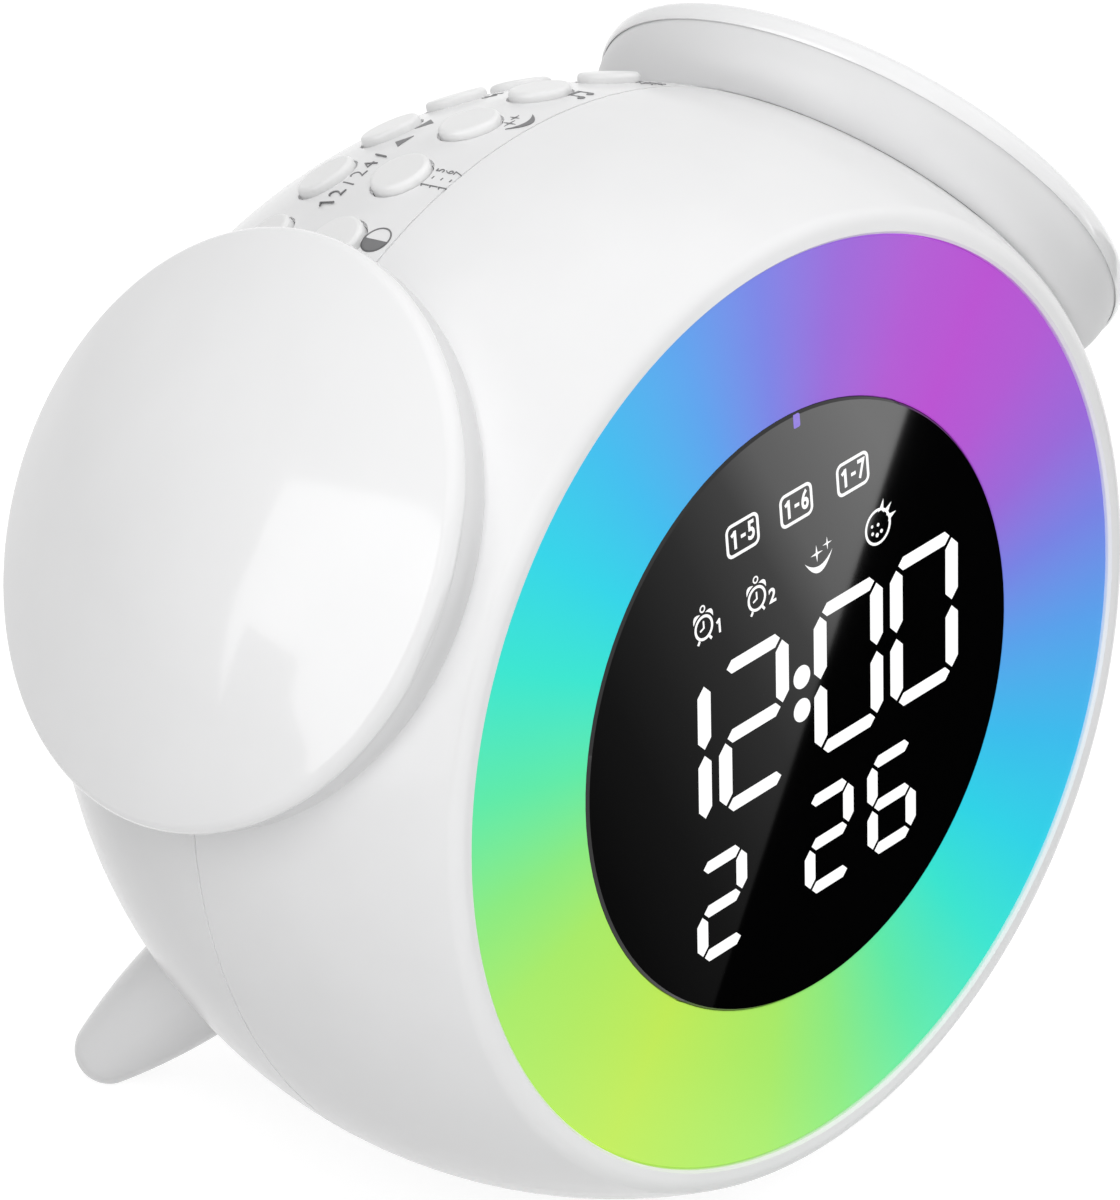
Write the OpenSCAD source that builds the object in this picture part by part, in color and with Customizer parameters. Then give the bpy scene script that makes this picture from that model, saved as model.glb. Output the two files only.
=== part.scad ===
// Sunrise alarm clock: a ball-shaped case with a glowing colour ring round a dark display,
// two domed ears that press in as light and snooze keys, a double row of small keys on top,
// and two rear legs that tip the face back. Millimetres, +Z up, the face looks along -Y.
//
// Most pieces are drawn in "face axes": the origin is the centre of the ball, x is to the right
// seen from the front, y is up along the face, and z points out of the face. on_stand() then
// leans the whole clock back and stands it on the table.

/* [Ball case] */
// Radius of the ball
body_r = 58.8; // [57:0.2:62]
// Wall of the case shells
wall = 2.4; // [2:0.1:3]
// Distance of the face plane in front of the ball's centre
face_z = 26.5; // [26:0.1:27]
// Distance of the joint between the shells behind the ball's centre
seam_back = 4.3; // [3.5:0.1:5]
// Width of the joint line between the shells
seam_gap = 0.25; // [0.1:0.05:0.5]
// Angle by which the face leans back
lean = 6; // [3:0.5:8]

/* [Face] */
// Width of the bezel's flat between the colour ring and its rounded edge
bezel_w = 1.25; // [1:0.05:1.6]
// Radius of the dark display glass
lens_r = 33; // [30:0.5:35]
// Radius of the rounded front edge of the bezel
bezel_round = 2; // [1:0.25:2.5]
// Depth of the colour ring behind the bezel's front
ring_sink = 0.5; // [0.2:0.1:0.8]
// Depth of the display glass behind the bezel's front
lens_sink = 0.3; // [0.2:0.1:0.8]
// Thickness of the colour ring and of the display glass
pane_t = 2; // [1.5:0.25:2.5]
// Depth of the light box behind the colour ring
tray_depth = 10; // [8:0.5:12]
// Wall of the light box
tray_wall = 1.6; // [1.2:0.1:2]
// Number of lamps behind the colour ring
lamp_count = 24; // [12:4:36]

/* [Display] */
// Height of the time digits
digit_h = 17; // [14:0.25:17.5]
// Width of the time digits
digit_w = 11; // [9:0.2:11.2]
// Width of an upright bar of a time digit
bar_w = 2; // [1.4:0.1:2.2]
// Width of a level bar of a time digit
bar_h = 1.5; // [1:0.1:1.8]
// Space between neighbouring time digits
digit_space = 1.2; // [0.8:0.1:1.4]
// Height of the date digits
date_h = 11.3; // [9:0.1:11.6]
// Width of the date digits
date_w = 7.8; // [6:0.1:8]
// Width of an upright bar of a date digit
date_bar_w = 1.6; // [1.2:0.1:1.8]
// Space between neighbouring date digits
date_space = 2.3; // [1.8:0.1:2.4]
// Slant of all digits
digit_slant = 5; // [0:1:8]

/* [Ears] */
// Space between an ear's rim and the outermost key
ear_space = 0.95; // [0.8:0.05:3]
// Angle by which the ears point backwards
ear_back = 4.5; // [0:0.5:8]
// Radius of an ear
ear_r = 30.75; // [26:0.25:32]
// Height of an ear's dome above its side wall
ear_dome = 7.5; // [6:0.5:9]
// Height of an ear cap's side wall
ear_side = 1.6; // [1.4:0.1:2.4]
// Rounding between the dome and the side wall
ear_round = 1.5; // [0.8:0.1:2]
// Height of the ear cap's lower edge above the ball beside it
ear_lift = 7.8; // [7.2:0.1:8.6]
// Rounding of an ear's back towards the ball
bowl_round = 7; // [6.4:0.1:7.4]
// Wall of an ear
ear_wall = 1.4; // [1.2:0.1:1.8]
// Travel of an ear when it is pressed
ear_travel = 0.3; // [0.2:0.05:0.5]
// Radius of the hub that holds an ear in the case
hub_r = 12; // [10:0.5:13]

/* [Keys] */
// Space between neighbouring keys of a row
key_space = 4.3; // [3.8:0.1:4.6]
// Space between the two rows of keys
row_space = 5.7; // [4.8:0.1:6.2]
// Distance of the front keys behind the joint line
key_front = 4; // [3.8:0.1:5]
// Turn of the key rows towards the left ear
key_turn = 2.7; // [0:0.1:4]
// Radius of a key cap
key_r = 3.3; // [2.8:0.1:3.4]
// Height of a key cap above the case
key_proud = 0.9; // [0.7:0.1:1.6]
// Travel of a key
key_travel = 0.5; // [0.3:0.1:0.8]

/* [Legs and foot] */
// Radius of a rear leg at its root
leg_r = 6.8; // [6:0.1:8]
// Depth of the flat under a rear leg's tip
leg_sole = 0.6; // [0.3:0.1:1]
// Radius of a rear leg's round tip
leg_tip = 3.8; // [3.5:0.1:5]
// Angle of the legs outwards from straight back
leg_out = 32.7; // [30:0.1:38]
// Angle of the legs below level
leg_down = 40.6; // [38:0.1:44]
// Radius of the rubber foot under the belly
foot_r = 7.5; // [6:0.5:8]
// Height of the ball's lowest point above the table
belly_gap = 0.8; // [0.6:0.1:1.2]

/* [Inside] */
// Radius of the main circuit board
board_r = 34; // [30:1:35]
// Thickness of the circuit boards
board_t = 1.6; // [1:0.2:2]
// Radius of the loudspeaker
speaker_r = 14; // [12:0.5:14]
// Radius of the battery cell
cell_r = 9; // [7:0.5:9.2]
// Length of the battery cell
cell_len = 65; // [50:1:65]
// Radius of the case screws' shanks
screw_r = 1.3; // [1:0.1:1.5]

/* [Hidden] */
$fn = 96;

eps = 0.01;
fit_gap = 0.1;    // clearance between fixed pieces that slot together
move_gap = 0.3;   // clearance between a moving piece and its neighbours
press_gap = 0.25; // clearance left under an ear's cap when it is pressed home
inner_r = body_r - wall;
seam_z = -seam_back;
tongue = 2;

// Stand: where the ball's centre lies above and behind the part's origin
corner_z = face_z - bezel_round;
corner_r = sqrt(pow(body_r - bezel_round, 2) - pow(corner_z, 2));
front_reach = corner_z * cos(lean) + corner_r * sin(lean) + bezel_round;
centre_y = (front_reach - body_r) / 2;
centre_z = body_r + belly_gap;

// Face stack, as heights along z
rim_gap = 0.2;    // clearance round the colour ring
ring_flange = 0.7;
lip_t = 2;
ring_r = corner_r - bezel_w;
lip_r = ring_r + ring_flange + rim_gap;
lip_z = corner_z - lip_t;
bezel_foot_z = corner_z + fit_gap;
ring_front = face_z - ring_sink;
lens_front = face_z - lens_sink;
ring_back = ring_front - pane_t;
tray_floor = ring_back - tray_depth;
tray_out = ring_r + 0.4;
tray_flange_t = 1.6;
lamp_board_top = tray_floor + tray_wall + board_t;
glass_back = lens_front - pane_t;
segment_t = 5;
segment_back = glass_back - segment_t;
segment_r = lens_r - 1.5;

// Screws and wells of the case
well_r = 3.2;
well_wall = 1.6;
well_floor = seam_z - 9;
shank_r = screw_r - 0.2;
pilot_r = shank_r + 0.03;
low_well = [44, -36];
boss_top = seam_z + 11;
well_gap = 1.6;

// Keys
key_columns = 5;
key_pitch = (2 * key_r + key_space) / body_r * 180 / PI;
front_row = (seam_back + key_front + key_r) / body_r * 180 / PI;
back_row = front_row + (2 * key_r + row_space) / body_r * 180 / PI;
key_hole = key_r + move_gap;
flange_r = key_r + 0.9;
flange_t = 1;
flange_top = inner_r - 0.5;
mat_top = flange_top - flange_t - key_travel - move_gap - 1.4;
mat_t = 0.8;
key_board_t = 1.1;
key_board_top = mat_top - mat_t;
key_first = -key_turn - key_pitch * (key_columns - 1) / 2;
key_margin = 6;
row_mid = (front_row + back_row) / 2;
key_board_r = (key_board_top - key_board_t) * cos(back_row + key_margin);
top_well = [key_board_r - well_r - well_wall - well_gap, 63];

// Ears: their rims keep clear of the outermost keys
ear_seat = sqrt(pow(body_r, 2) - pow(ear_r, 2)) + ear_lift;
ear_half = atan(ear_r / ear_seat);
key_half = atan(key_r / (body_r + key_proud));
ear_up = 90 + key_first - ear_half - key_half - ear_space / body_r * 180 / PI;
ear_skirt = ear_r - ear_wall;
dome_r = (pow(ear_r, 2) + pow(ear_dome, 2)) / (2 * ear_dome);
dome_c = ear_seat + ear_side + ear_dome - dome_r;
round_c = dome_c + sqrt(pow(dome_r - ear_round, 2) - pow(ear_r - ear_round, 2));
round_end = (ear_r - ear_round) * dome_r / (dome_r - ear_round);
bowl_r = ear_skirt - move_gap;
bowl_wall = 1.4;
bowl_z = ear_seat - ear_travel - press_gap;
bowl_edge = ear_r - 0.15;
bowl_mid = bowl_edge - bowl_round;
bowl_top = dome_c + sqrt(pow(dome_r - ear_wall, 2) - pow(bowl_r, 2)) - ear_travel - move_gap;
hub_flange = 3;
hub_flange_t = 1.6;
hub_seat = sqrt(pow(inner_r, 2) - pow(hub_r + hub_flange, 2)) - 2;
hub_depth = 6.9;
hub_floor = hub_seat - hub_depth;
hub_bore = hub_r - bowl_wall;
stem_r = 3.5;
switch_h = 3.6;
stem_end = hub_floor + 2 + switch_h + ear_travel + move_gap;

slide_gap = 0.05;  // clearance of the ear's stem in its guide

// Loudspeaker, inlet and legs
speaker_down = 42;
speaker_seat = sqrt(pow(inner_r, 2) - pow(speaker_r + 1.5, 2)) - 1.2;
inlet_down = 12;
inlet_w = 8.9;
inlet_h = 3.2;
inlet_len = 7.4;
leg_root = body_r - 1.8;
leg_pin_r = 3.6;
leg_pin_in = inner_r - 5;
leg_drop = sin(leg_down) * cos(lean) + cos(leg_down) * cos(leg_out) * sin(lean);
leg_len = (centre_z - leg_tip + leg_sole) / leg_drop - leg_root + leg_tip;
leg_mid = leg_len - leg_tip;
leg_side_r = (pow(leg_r, 2) + pow(leg_mid, 2) - pow(leg_tip, 2)) / (2 * (leg_r - leg_tip));
cell_y = 10;
cradle_t = 1.6;
cradle_x = cell_len / 2 + 0.3 + cradle_t;
cradle_y = cell_y + cell_r + cradle_t + 1;
cell_z = cell_r + cradle_t + 1.2 - sqrt(pow(inner_r, 2) - pow(cradle_x, 2) - pow(cradle_y, 2));
board_z = cell_z + cell_r + 2.5 + board_t;
board_posts = [for (a = [55, 125, -25, -155]) [board_r - 3, a]];

// ---- placing ---------------------------------------------------------------------------

module on_stand() {
    translate([0, centre_y, centre_z]) rotate([90 - lean, 0, 0]) children();
}

// Local z along an ear's axis; side is 1 for the right ear and -1 for the left
module along_ear(side) {
    mirror([side < 0 ? 1 : 0, 0, 0])
        rotate([0, 0, ear_up]) rotate([0, 90 + ear_back, 0]) children();
}

// Local z outwards through a key of the given column and row angle
module along_key(column, row) {
    rotate([0, 0, -(key_first + key_pitch * column)]) rotate([-(90 + row), 0, 0]) children();
}

// Local z backwards out of the ball, turned out and down
module along_back(out, down) {
    rotate([0, 180 - out, 0]) rotate([down, 0, 0]) children();
}

// A place given as [radius, angle] in the face's plane, and its mirror image
module at_polar(p) {
    rotate([0, 0, p[1]]) translate([p[0], 0, 0]) children();
}

module both_sides(p) {
    at_polar(p) children();
    at_polar([p[0], 180 - p[1]]) children();
}

module tube(r_out, r_in, h) {
    difference() {
        cylinder(r = r_out, h = h);
        translate([0, 0, -1]) cylinder(r = r_in, h = h + 2);
    }
}

// Half-plane block of a revolved profile between two heights
module band(r_in, r_out, z_low, z_high) {
    translate([r_in, z_low]) square([r_out - r_in, z_high - z_low]);
}

module plate(w, d, t, corner) {
    linear_extrude(t)
        union() {
            square([w - 2 * corner, d], center = true);
            square([w, d - 2 * corner], center = true);
            for (x = [-1, 1])
                for (y = [-1, 1])
                    translate([x * (w / 2 - corner), y * (d / 2 - corner)]) circle(corner);
        }
}

module slot_prism(w, h, t) {
    linear_extrude(t) {
        square([w - h, h], center = true);
        for (x = [-1, 1]) translate([x * (w - h) / 2, 0]) circle(h / 2);
    }
}

// ---- case ------------------------------------------------------------------------------

// Wall of the ball between two heights, as a revolved profile
module ball_wall(z_low, z_high) {
    intersection() {
        difference() {
            circle(body_r);
            circle(inner_r);
        }
        band(0, body_r + 1, z_low, z_high);
    }
}

// Holes for the two ears' hubs
module hub_holes() {
    for (side = [-1, 1])
        along_ear(side) translate([0, 0, inner_r - 12]) cylinder(r = hub_r + fit_gap, h = 20);
}

module screw_boss(p) {
    both_sides(p) {
        translate([0, 0, seam_z]) cylinder(r = well_r + well_wall, h = boss_top - seam_z);
        translate([0, -1.2, seam_z]) cube([body_r, 2.4, boss_top - seam_z - 1]);
    }
}

module front_shell() {
    color("white") on_stand() difference() {
        union() {
            rotate_extrude() {
                ball_wall(seam_z, corner_z);
                // lip that carries the bezel and, from behind, the light box
                intersection() {
                    circle(body_r - wall / 2);
                    band(lip_r, body_r, lip_z, corner_z);
                }
                // tongue that enters the rear shell
                band(inner_r - 1.9, inner_r + 0.3, seam_z, seam_z + 5);
                band(inner_r - 1.9, sqrt(pow(inner_r, 2) - pow(seam_z - tongue, 2)) - fit_gap,
                     seam_z - tongue, seam_z + 1);
            }
            intersection() {
                union() {
                    screw_boss(top_well);
                    screw_boss(low_well);
                }
                sphere(inner_r + 0.4);
            }
        }
        hub_holes();
        // room for the flanges of the ears' hubs behind the wall
        for (side = [-1, 1])
            along_ear(side) translate([0, 0, hub_floor - 1])
                cylinder(r = hub_r + hub_flange + 1, h = inner_r - hub_floor - 0.8);
        for (p = [top_well, low_well])
            both_sides(p) translate([0, 0, seam_z - 1]) cylinder(r = pilot_r, h = 10);
    }
}

module grille() {
    along_back(0, speaker_down)
        for (ring = [0:3])
            for (k = [0:max(0, ring * 6 - 1)])
                rotate([0, 0, k * 60 / max(ring, 1)])
                    translate([ring * 3.2, 0, inner_r - 6]) cylinder(r = 0.9, h = 14, $fn = 32);
}

module case_wells(extra, z_from) {
    for (p = [top_well, low_well])
        both_sides(p) translate([0, 0, z_from - body_r]) cylinder(r = well_r + extra, h = body_r);
}

module key_posts(r, low, high) {
    for (column = [0.5, key_columns - 1.5])
        for (row = [row_mid])
            along_key(column, row) translate([0, 0, low]) cylinder(r = r, h = high - low, $fn = 48);
}

module rear_shell() {
    color("white") on_stand() difference() {
        union() {
            rotate_extrude() ball_wall(-body_r, seam_z - seam_gap);
            intersection() {
                union() {
                    case_wells(well_wall, seam_z - seam_gap);
                    // posts of the main board and of the battery cradle
                    for (p = board_posts)
                        at_polar(p) translate([0, 0, -body_r])
                            cylinder(r = 3, h = body_r + board_z - board_t);
                    for (x = [-1, 1])
                        translate([x * 15 - 3, cell_y - 6, -body_r])
                            cube([6, 12, body_r + cell_z - cell_r - cradle_t]);
                    // seat ring of the loudspeaker
                    along_back(0, speaker_down) translate([0, 0, speaker_seat])
                        tube(speaker_r + 1.5, speaker_r - 0.6, 10);
                    // shelf of the power inlet's board
                    along_back(0, inlet_down) for (x = [-1, 1])
                        translate([x * 6 - 1.5, inlet_h / 2 + 1.2, inner_r - 11]) cube([3, 3, 14]);
                    // sockets of the legs
                    for (out = [-leg_out, leg_out])
                        along_back(out, leg_down) translate([0, 0, inner_r - 5])
                            cylinder(r = leg_pin_r + 1.8, h = 8);
                }
                sphere(inner_r + 0.4);
            }
            key_posts(1.4, key_board_top - key_board_t - 0.5, inner_r + 0.5);
            key_posts(2.2, key_board_top - key_board_t - 1, key_board_top - key_board_t - fit_gap);
        }
        // counterbored wells of the case screws
        case_wells(0, well_floor);
        for (p = [top_well, low_well])
            both_sides(p) translate([0, 0, well_floor - 1]) cylinder(r = screw_r + 0.2, h = 20);
        // pilot holes of the board screws
        for (p = board_posts)
            at_polar(p) translate([0, 0, board_z - board_t - 7]) cylinder(r = 0.9, h = 8);
        hub_holes();
        for (column = [0:key_columns - 1])
            for (row = [front_row, back_row])
                along_key(column, row) translate([0, 0, inner_r - 3])
                    cylinder(r = key_hole, h = wall + 6);
        grille();
        // power inlet: a hole for the socket in a shallow recess for the plug
        along_back(0, inlet_down) {
            translate([0, 0, inner_r - 12]) slot_prism(inlet_w + 0.4, inlet_h + 0.4, 20);
            translate([0, 0, body_r - 1]) slot_prism(inlet_w + 4.6, inlet_h + 4.6, 3);
        }
        for (out = [-leg_out, leg_out])
            along_back(out, leg_down) translate([0, 0, leg_pin_in - 1])
                cylinder(r = leg_pin_r + fit_gap, h = 12);
    }
}

// ---- face ------------------------------------------------------------------------------

module bezel_ring() {
    tangent = body_r / (body_r - bezel_round);
    color("white") on_stand() rotate_extrude() difference() {
        union() {
            band(ring_r + rim_gap, corner_r, bezel_foot_z - 0.4, face_z);
            intersection() {
                translate([corner_r, corner_z]) circle(bezel_round);
                band(corner_r - 0.1, body_r, corner_z - bezel_round, face_z);
            }
            intersection() {
                circle(body_r);
                polygon([[corner_r - 1, bezel_foot_z],
                         [corner_r, corner_z],
                         [corner_r * tangent * 1.05, corner_z * tangent * 1.05],
                         [body_r, bezel_foot_z]]);
            }
        }
        // flat underside above the case lip
        band(0, body_r + 1, 0, bezel_foot_z);
        // step that holds the rim of the colour ring
        band(0, ring_r + ring_flange + rim_gap, 0, ring_back + 0.8 + rim_gap);
        // softened inner edge
        translate([ring_r + rim_gap, face_z]) rotate(45) square(0.5, center = true);
    }
}

module colour_ring() {
    color("mediumturquoise") on_stand() rotate_extrude() {
        band(lens_r + fit_gap, ring_r, ring_back, ring_front);
        band(lens_r + fit_gap, ring_r + ring_flange, ring_back, ring_back + 0.8);
    }
}

module display_glass() {
    color("black") on_stand() difference() {
        translate([0, 0, glass_back]) cylinder(r = lens_r, h = pane_t);
        translate([0, 0, lens_front]) rotate_extrude()
            translate([lens_r, 0]) rotate(45) square(0.4, center = true);
    }
}

module light_tray() {
    color("whitesmoke") on_stand() difference() {
        union() {
            translate([0, 0, tray_floor]) cylinder(r = tray_out, h = tray_wall);
            translate([0, 0, tray_floor]) tube(tray_out, tray_out - tray_wall, ring_back - tray_floor);
            translate([0, 0, tray_floor])
                tube(lens_r + 1.8, lens_r + 0.3, ring_back - tray_floor);
            // flange behind the lip of the front shell
            translate([0, 0, lip_z - tray_flange_t])
                tube(sqrt(pow(inner_r, 2) - pow(lip_z, 2)) - 0.3, tray_out - 0.5, tray_flange_t);
            // posts of the display board
            for (a = [45:90:315])
                rotate([0, 0, a]) translate([segment_r - 4, 0, tray_floor])
                    cylinder(r = 2.4, h = segment_back - board_t - tray_floor);
        }
        translate([0, 0, tray_floor - 1]) cylinder(r = 12, h = tray_wall + 2);
        for (a = [0, 180])
            rotate([0, 0, a]) translate([lens_r + 6, 0, tray_floor - 1])
                cylinder(r = 2, h = tray_wall + 2);
    }
}

module lamp_board() {
    color("seagreen") on_stand() translate([0, 0, tray_floor + tray_wall])
        difference() {
            tube(tray_out - tray_wall - 0.2, lens_r + 2, board_t);
            for (a = [0, 180])
                rotate([0, 0, a]) translate([lens_r + 6, 0, -1]) cylinder(r = 2, h = board_t + 2);
        }
}

module lamps() {
    color("gold") on_stand()
        for (k = [0:lamp_count - 1])
            rotate([0, 0, (k + 0.5) * 360 / lamp_count])
                translate([(ring_r + lens_r) / 2, 0, lamp_board_top]) {
                    translate([-2.5, -2.5, 0]) cube([5, 5, 1]);
                    translate([0, 0, 1]) cylinder(r = 1.9, h = 0.5, $fn = 32);
                }
}

// ---- display ---------------------------------------------------------------------------

// One bar of a digit: a six-sided strip with pointed ends, along x
module bar(len, w) {
    polygon([[-len / 2, 0], [-len / 2 + w / 2, w / 2], [len / 2 - w / 2, w / 2],
             [len / 2, 0], [len / 2 - w / 2, -w / 2], [-len / 2 + w / 2, -w / 2]]);
}

// Seven bars of a slanted digit w wide and h high, centred; t is the width of the upright bars
// and low that of the level ones
module digit(w, h, t, low, grow) {
    gap = 0.6 - grow;
    across = w - t;
    up = (h - low) / 2;
    multmatrix([[1, tan(digit_slant), 0, 0], [0, 1, 0, 0], [0, 0, 1, 0]]) {
        for (y = [-1:1]) translate([0, y * up]) bar(across - gap, low + 2 * grow);
        for (x = [-1, 1])
            for (y = [-1, 1])
                translate([x * across / 2, y * up / 2]) rotate(90) bar(up - gap, t + 2 * grow);
    }
}

// Everything the display can light, as a flat pattern on the face
module display_pattern(grow) {
    time_x = 0.1;
    time_y = 1.4;
    time_pitch = digit_w + digit_space;
    colon_room = 2.8;
    date_x = 7.7;
    date_y = -16.6;
    date_pitch = date_w + date_space;
    for (side = [-1, 1])
        for (k = [0.5, 1.5])
            translate([time_x + side * (k * time_pitch + colon_room / 2), time_y])
                digit(digit_w, digit_h, bar_w, bar_h, grow);
    for (y = [-1, 1])
        translate([time_x, time_y + y * 1.9]) circle(bar_w * 0.62 + grow, $fn = 32);
    for (x = [date_x - date_pitch / 2 - 17, date_x - date_pitch / 2, date_x + date_pitch / 2])
        translate([x, date_y]) digit(date_w, date_h, date_bar_w, date_bar_w * bar_h / bar_w, grow);
    // windows of the small signs above the time
    for (k = [-1:1])
        translate([1.6 + k * 8.7, 22.7]) square([5.8 + 2 * grow, 4.4 + 2 * grow], center = true);
    for (x = [-13, -5, 4.2, 13.6])
        translate([x, 15.3]) circle(2.7 + grow, $fn = 32);
}

module segment_box() {
    color("dimgray") on_stand() difference() {
        translate([0, 0, segment_back]) cylinder(r = segment_r, h = segment_t - fit_gap);
        translate([0, 0, segment_back - 1]) linear_extrude(segment_t + 2) display_pattern(0.05);
    }
}

module segment_bars() {
    color("ivory") on_stand()
        translate([0, 0, segment_back]) linear_extrude(segment_t - fit_gap) display_pattern(0);
}

module display_board() {
    color("seagreen") on_stand() translate([0, 0, segment_back - board_t])
        cylinder(r = segment_r, h = board_t);
}

// ---- ears ------------------------------------------------------------------------------

// Outline of an ear cap: dome, rounded edge and side wall
module cap_outline(inset) {
    intersection() {
        translate([0, dome_c]) circle(dome_r - inset);
        band(0, round_end - inset, ear_seat, dome_c + dome_r);
    }
    if (inset == 0) {
        intersection() {
            translate([ear_r - ear_round, round_c]) circle(ear_round);
            band(0, ear_r, round_c - eps, dome_c + dome_r);
        }
        band(0, ear_r, ear_seat, round_c);
    }
}

module ear_cap(side) {
    top = dome_c + dome_r - ear_wall / 2;
    color("white") on_stand() along_ear(side) {
        rotate_extrude() difference() {
            cap_outline(0);
            intersection() {
                translate([0, dome_c]) circle(dome_r - ear_wall);
                band(0, ear_skirt, ear_seat - 1, top);
            }
        }
        // stem that presses the switch, with a bead under its guide
        translate([0, 0, stem_end]) cylinder(r = stem_r, h = top - stem_end);
        translate([0, 0, stem_end]) cylinder(r = stem_r + 0.7, h = 0.8);
        translate([0, 0, ear_seat + 2]) cylinder(r = stem_r + 2.5, h = top - ear_seat - 2);
    }
}

module ear_base(side) {
    guide = stem_end + 0.8 + move_gap;
    color("white") on_stand() along_ear(side) {
        rotate_extrude() {
            // rounded back under the cap, with an upright rim inside the cap's side wall
            difference() {
                intersection() {
                    translate([bowl_mid, bowl_z]) circle(bowl_round);
                    band(bowl_mid, bowl_edge, bowl_z - bowl_round, bowl_z);
                }
                intersection() {
                    translate([bowl_mid, bowl_z]) circle(bowl_round - bowl_wall);
                    band(0, bowl_r - bowl_wall, 0, bowl_z);
                }
                circle(body_r + fit_gap);
            }
            band(bowl_r - bowl_wall, bowl_r, bowl_z - bowl_wall, bowl_top);
            // saddle on the ball
            intersection() {
                difference() {
                    circle(body_r + fit_gap + bowl_wall);
                    circle(body_r + fit_gap);
                }
                union() {
                    band(hub_bore, bowl_mid, 10, body_r + 5);
                    translate([bowl_mid, bowl_z]) circle(bowl_round);
                }
            }
            // hub through the case, with the flange that the two shells trap
            band(hub_bore, hub_r, hub_floor, body_r - 0.2);
            band(0, hub_r, hub_floor, hub_floor + 2);
            band(hub_r - 1, hub_r + hub_flange, hub_seat, hub_seat + hub_flange_t);
            band(stem_r + slide_gap, hub_r - 1, guide, guide + 2);
        }
    }
}

module ear_switch(side) {
    color("dimgray") on_stand() along_ear(side) translate([0, 0, hub_floor + 2]) {
        plate(13, 10, board_t, 1.5);
        translate([-3, -3, board_t]) cube([6, 6, switch_h - board_t - 0.6]);
        translate([0, 0, switch_h - 0.6]) cylinder(r = 1.7, h = 0.6, $fn = 32);
    }
}

// ---- keys ------------------------------------------------------------------------------

module key(column, row) {
    top = body_r + key_proud;
    color("white") on_stand() along_key(column, row) rotate_extrude() {
        band(0, key_r, flange_top - flange_t, top - 0.5);
        band(0, key_r - 0.5, top - 0.6, top);
        intersection() {
            translate([key_r - 0.5, top - 0.5]) circle(0.5, $fn = 32);
            band(0, key_r, top - 0.6, top);
        }
        band(0, flange_r, flange_top - flange_t, flange_top);
    }
}

// Patch of a round shell under the keys, between two radii
module key_patch(r_low, r_high) {
    half = key_pitch * (key_columns - 1) / 2 + key_margin;
    rotate([0, 0, 90 + key_turn - half]) rotate_extrude(angle = 2 * half) intersection() {
        difference() {
            circle(r_high);
            circle(r_low);
        }
        band(10, r_high + 1, -sin(back_row + key_margin) * r_high,
             -sin(front_row - key_margin) * r_high);
    }
}

module key_mat() {
    color("gainsboro") on_stand() difference() {
        union() {
            key_patch(mat_top - mat_t, mat_top);
            for (column = [0:key_columns - 1])
                for (row = [front_row, back_row])
                    along_key(column, row) translate([0, 0, mat_top - 0.3])
                        cylinder(r = 2.2, h = 1.6, $fn = 48);
        }
        key_posts(1.4 + fit_gap, 40, inner_r);
    }
}

module key_board() {
    color("seagreen") on_stand() difference() {
        key_patch(key_board_top - key_board_t, key_board_top);
        key_posts(1.4 + fit_gap, 40, inner_r);
    }
}

// ---- inside ----------------------------------------------------------------------------

module main_board() {
    color("seagreen") on_stand() difference() {
        translate([0, 0, board_z - board_t]) cylinder(r = board_r, h = board_t);
        case_wells(well_wall + 0.4, board_z + 5);
        for (p = board_posts)
            at_polar(p) translate([0, 0, board_z - board_t - 1]) cylinder(r = 1.3, h = board_t + 2);
    }
}

module board_parts() {
    color("dimgray") on_stand() translate([0, 0, board_z]) {
        translate([-6, -6, 0]) cube([12, 12, 1.4]);
        translate([10, 4, 0]) cube([8, 5, 1.6]);
        translate([-20, -4, 0]) cube([6, 9, 1.6]);
        translate([-10, 14, 0]) cube([20, 5, 6]);
        translate([-12, -22, 0]) cube([16, 5, 6]);
        for (x = [14, 22]) translate([x, -12, 0]) cylinder(r = 3.1, h = 7);
        translate([-22, 10, 0]) cylinder(r = 4, h = 3.5);
    }
}

module battery_cell() {
    color("steelblue") on_stand() translate([-cell_len / 2, cell_y, cell_z]) rotate([0, 90, 0]) {
        cylinder(r = cell_r, h = cell_len - 1);
        translate([0, 0, cell_len - 1]) cylinder(r = 2.8, h = 1);
    }
}

module battery_cradle() {
    inner = cell_len + 0.6;
    high = cell_r * 0.7;
    color("whitesmoke") on_stand() translate([0, cell_y, cell_z]) difference() {
        translate([-inner / 2 - cradle_t, -cell_r - cradle_t + 0.4, -cell_r - cradle_t])
            cube([inner + 2 * cradle_t, 2 * (cell_r + cradle_t) - 0.8, cell_r + cradle_t + high]);
        translate([-inner / 2, 0, 0]) rotate([0, 90, 0]) cylinder(r = cell_r + 0.2, h = inner);
        translate([-inner / 2, -cell_r + 0.6, 0]) cube([inner, 2 * cell_r - 1.2, cell_r + 2]);
        for (x = [-1, 1])
            translate([x * inner / 4 - 6, -cell_r - 5, 1]) cube([12, 2 * cell_r + 10, cell_r]);
        // chamfers that clear the ball's wall
        for (x = [-1, 1])
            for (y = [-1, 1])
                translate([x * (inner / 2 + cradle_t), y * (cell_r + cradle_t), -cell_r - cradle_t])
                    rotate([0, 0, 45]) cube([5, 5, 12], center = true);
    }
}

module speaker_basket() {
    color("dimgray") on_stand() along_back(0, speaker_down) difference() {
        union() {
            translate([0, 0, speaker_seat - 1.2]) cylinder(r = speaker_r + 1, h = 1.2);
            translate([0, 0, speaker_seat - 7]) cylinder(r1 = 8, r2 = speaker_r - 1, h = 6);
            translate([0, 0, speaker_seat - 13]) cylinder(r = 9, h = 6);
        }
        translate([0, 0, speaker_seat - 5.6]) cylinder(r1 = 6.5, r2 = speaker_r - 1.6, h = 5.7);
        translate([0, 0, speaker_seat - 8]) cylinder(r = 6, h = 4);
    }
}

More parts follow.
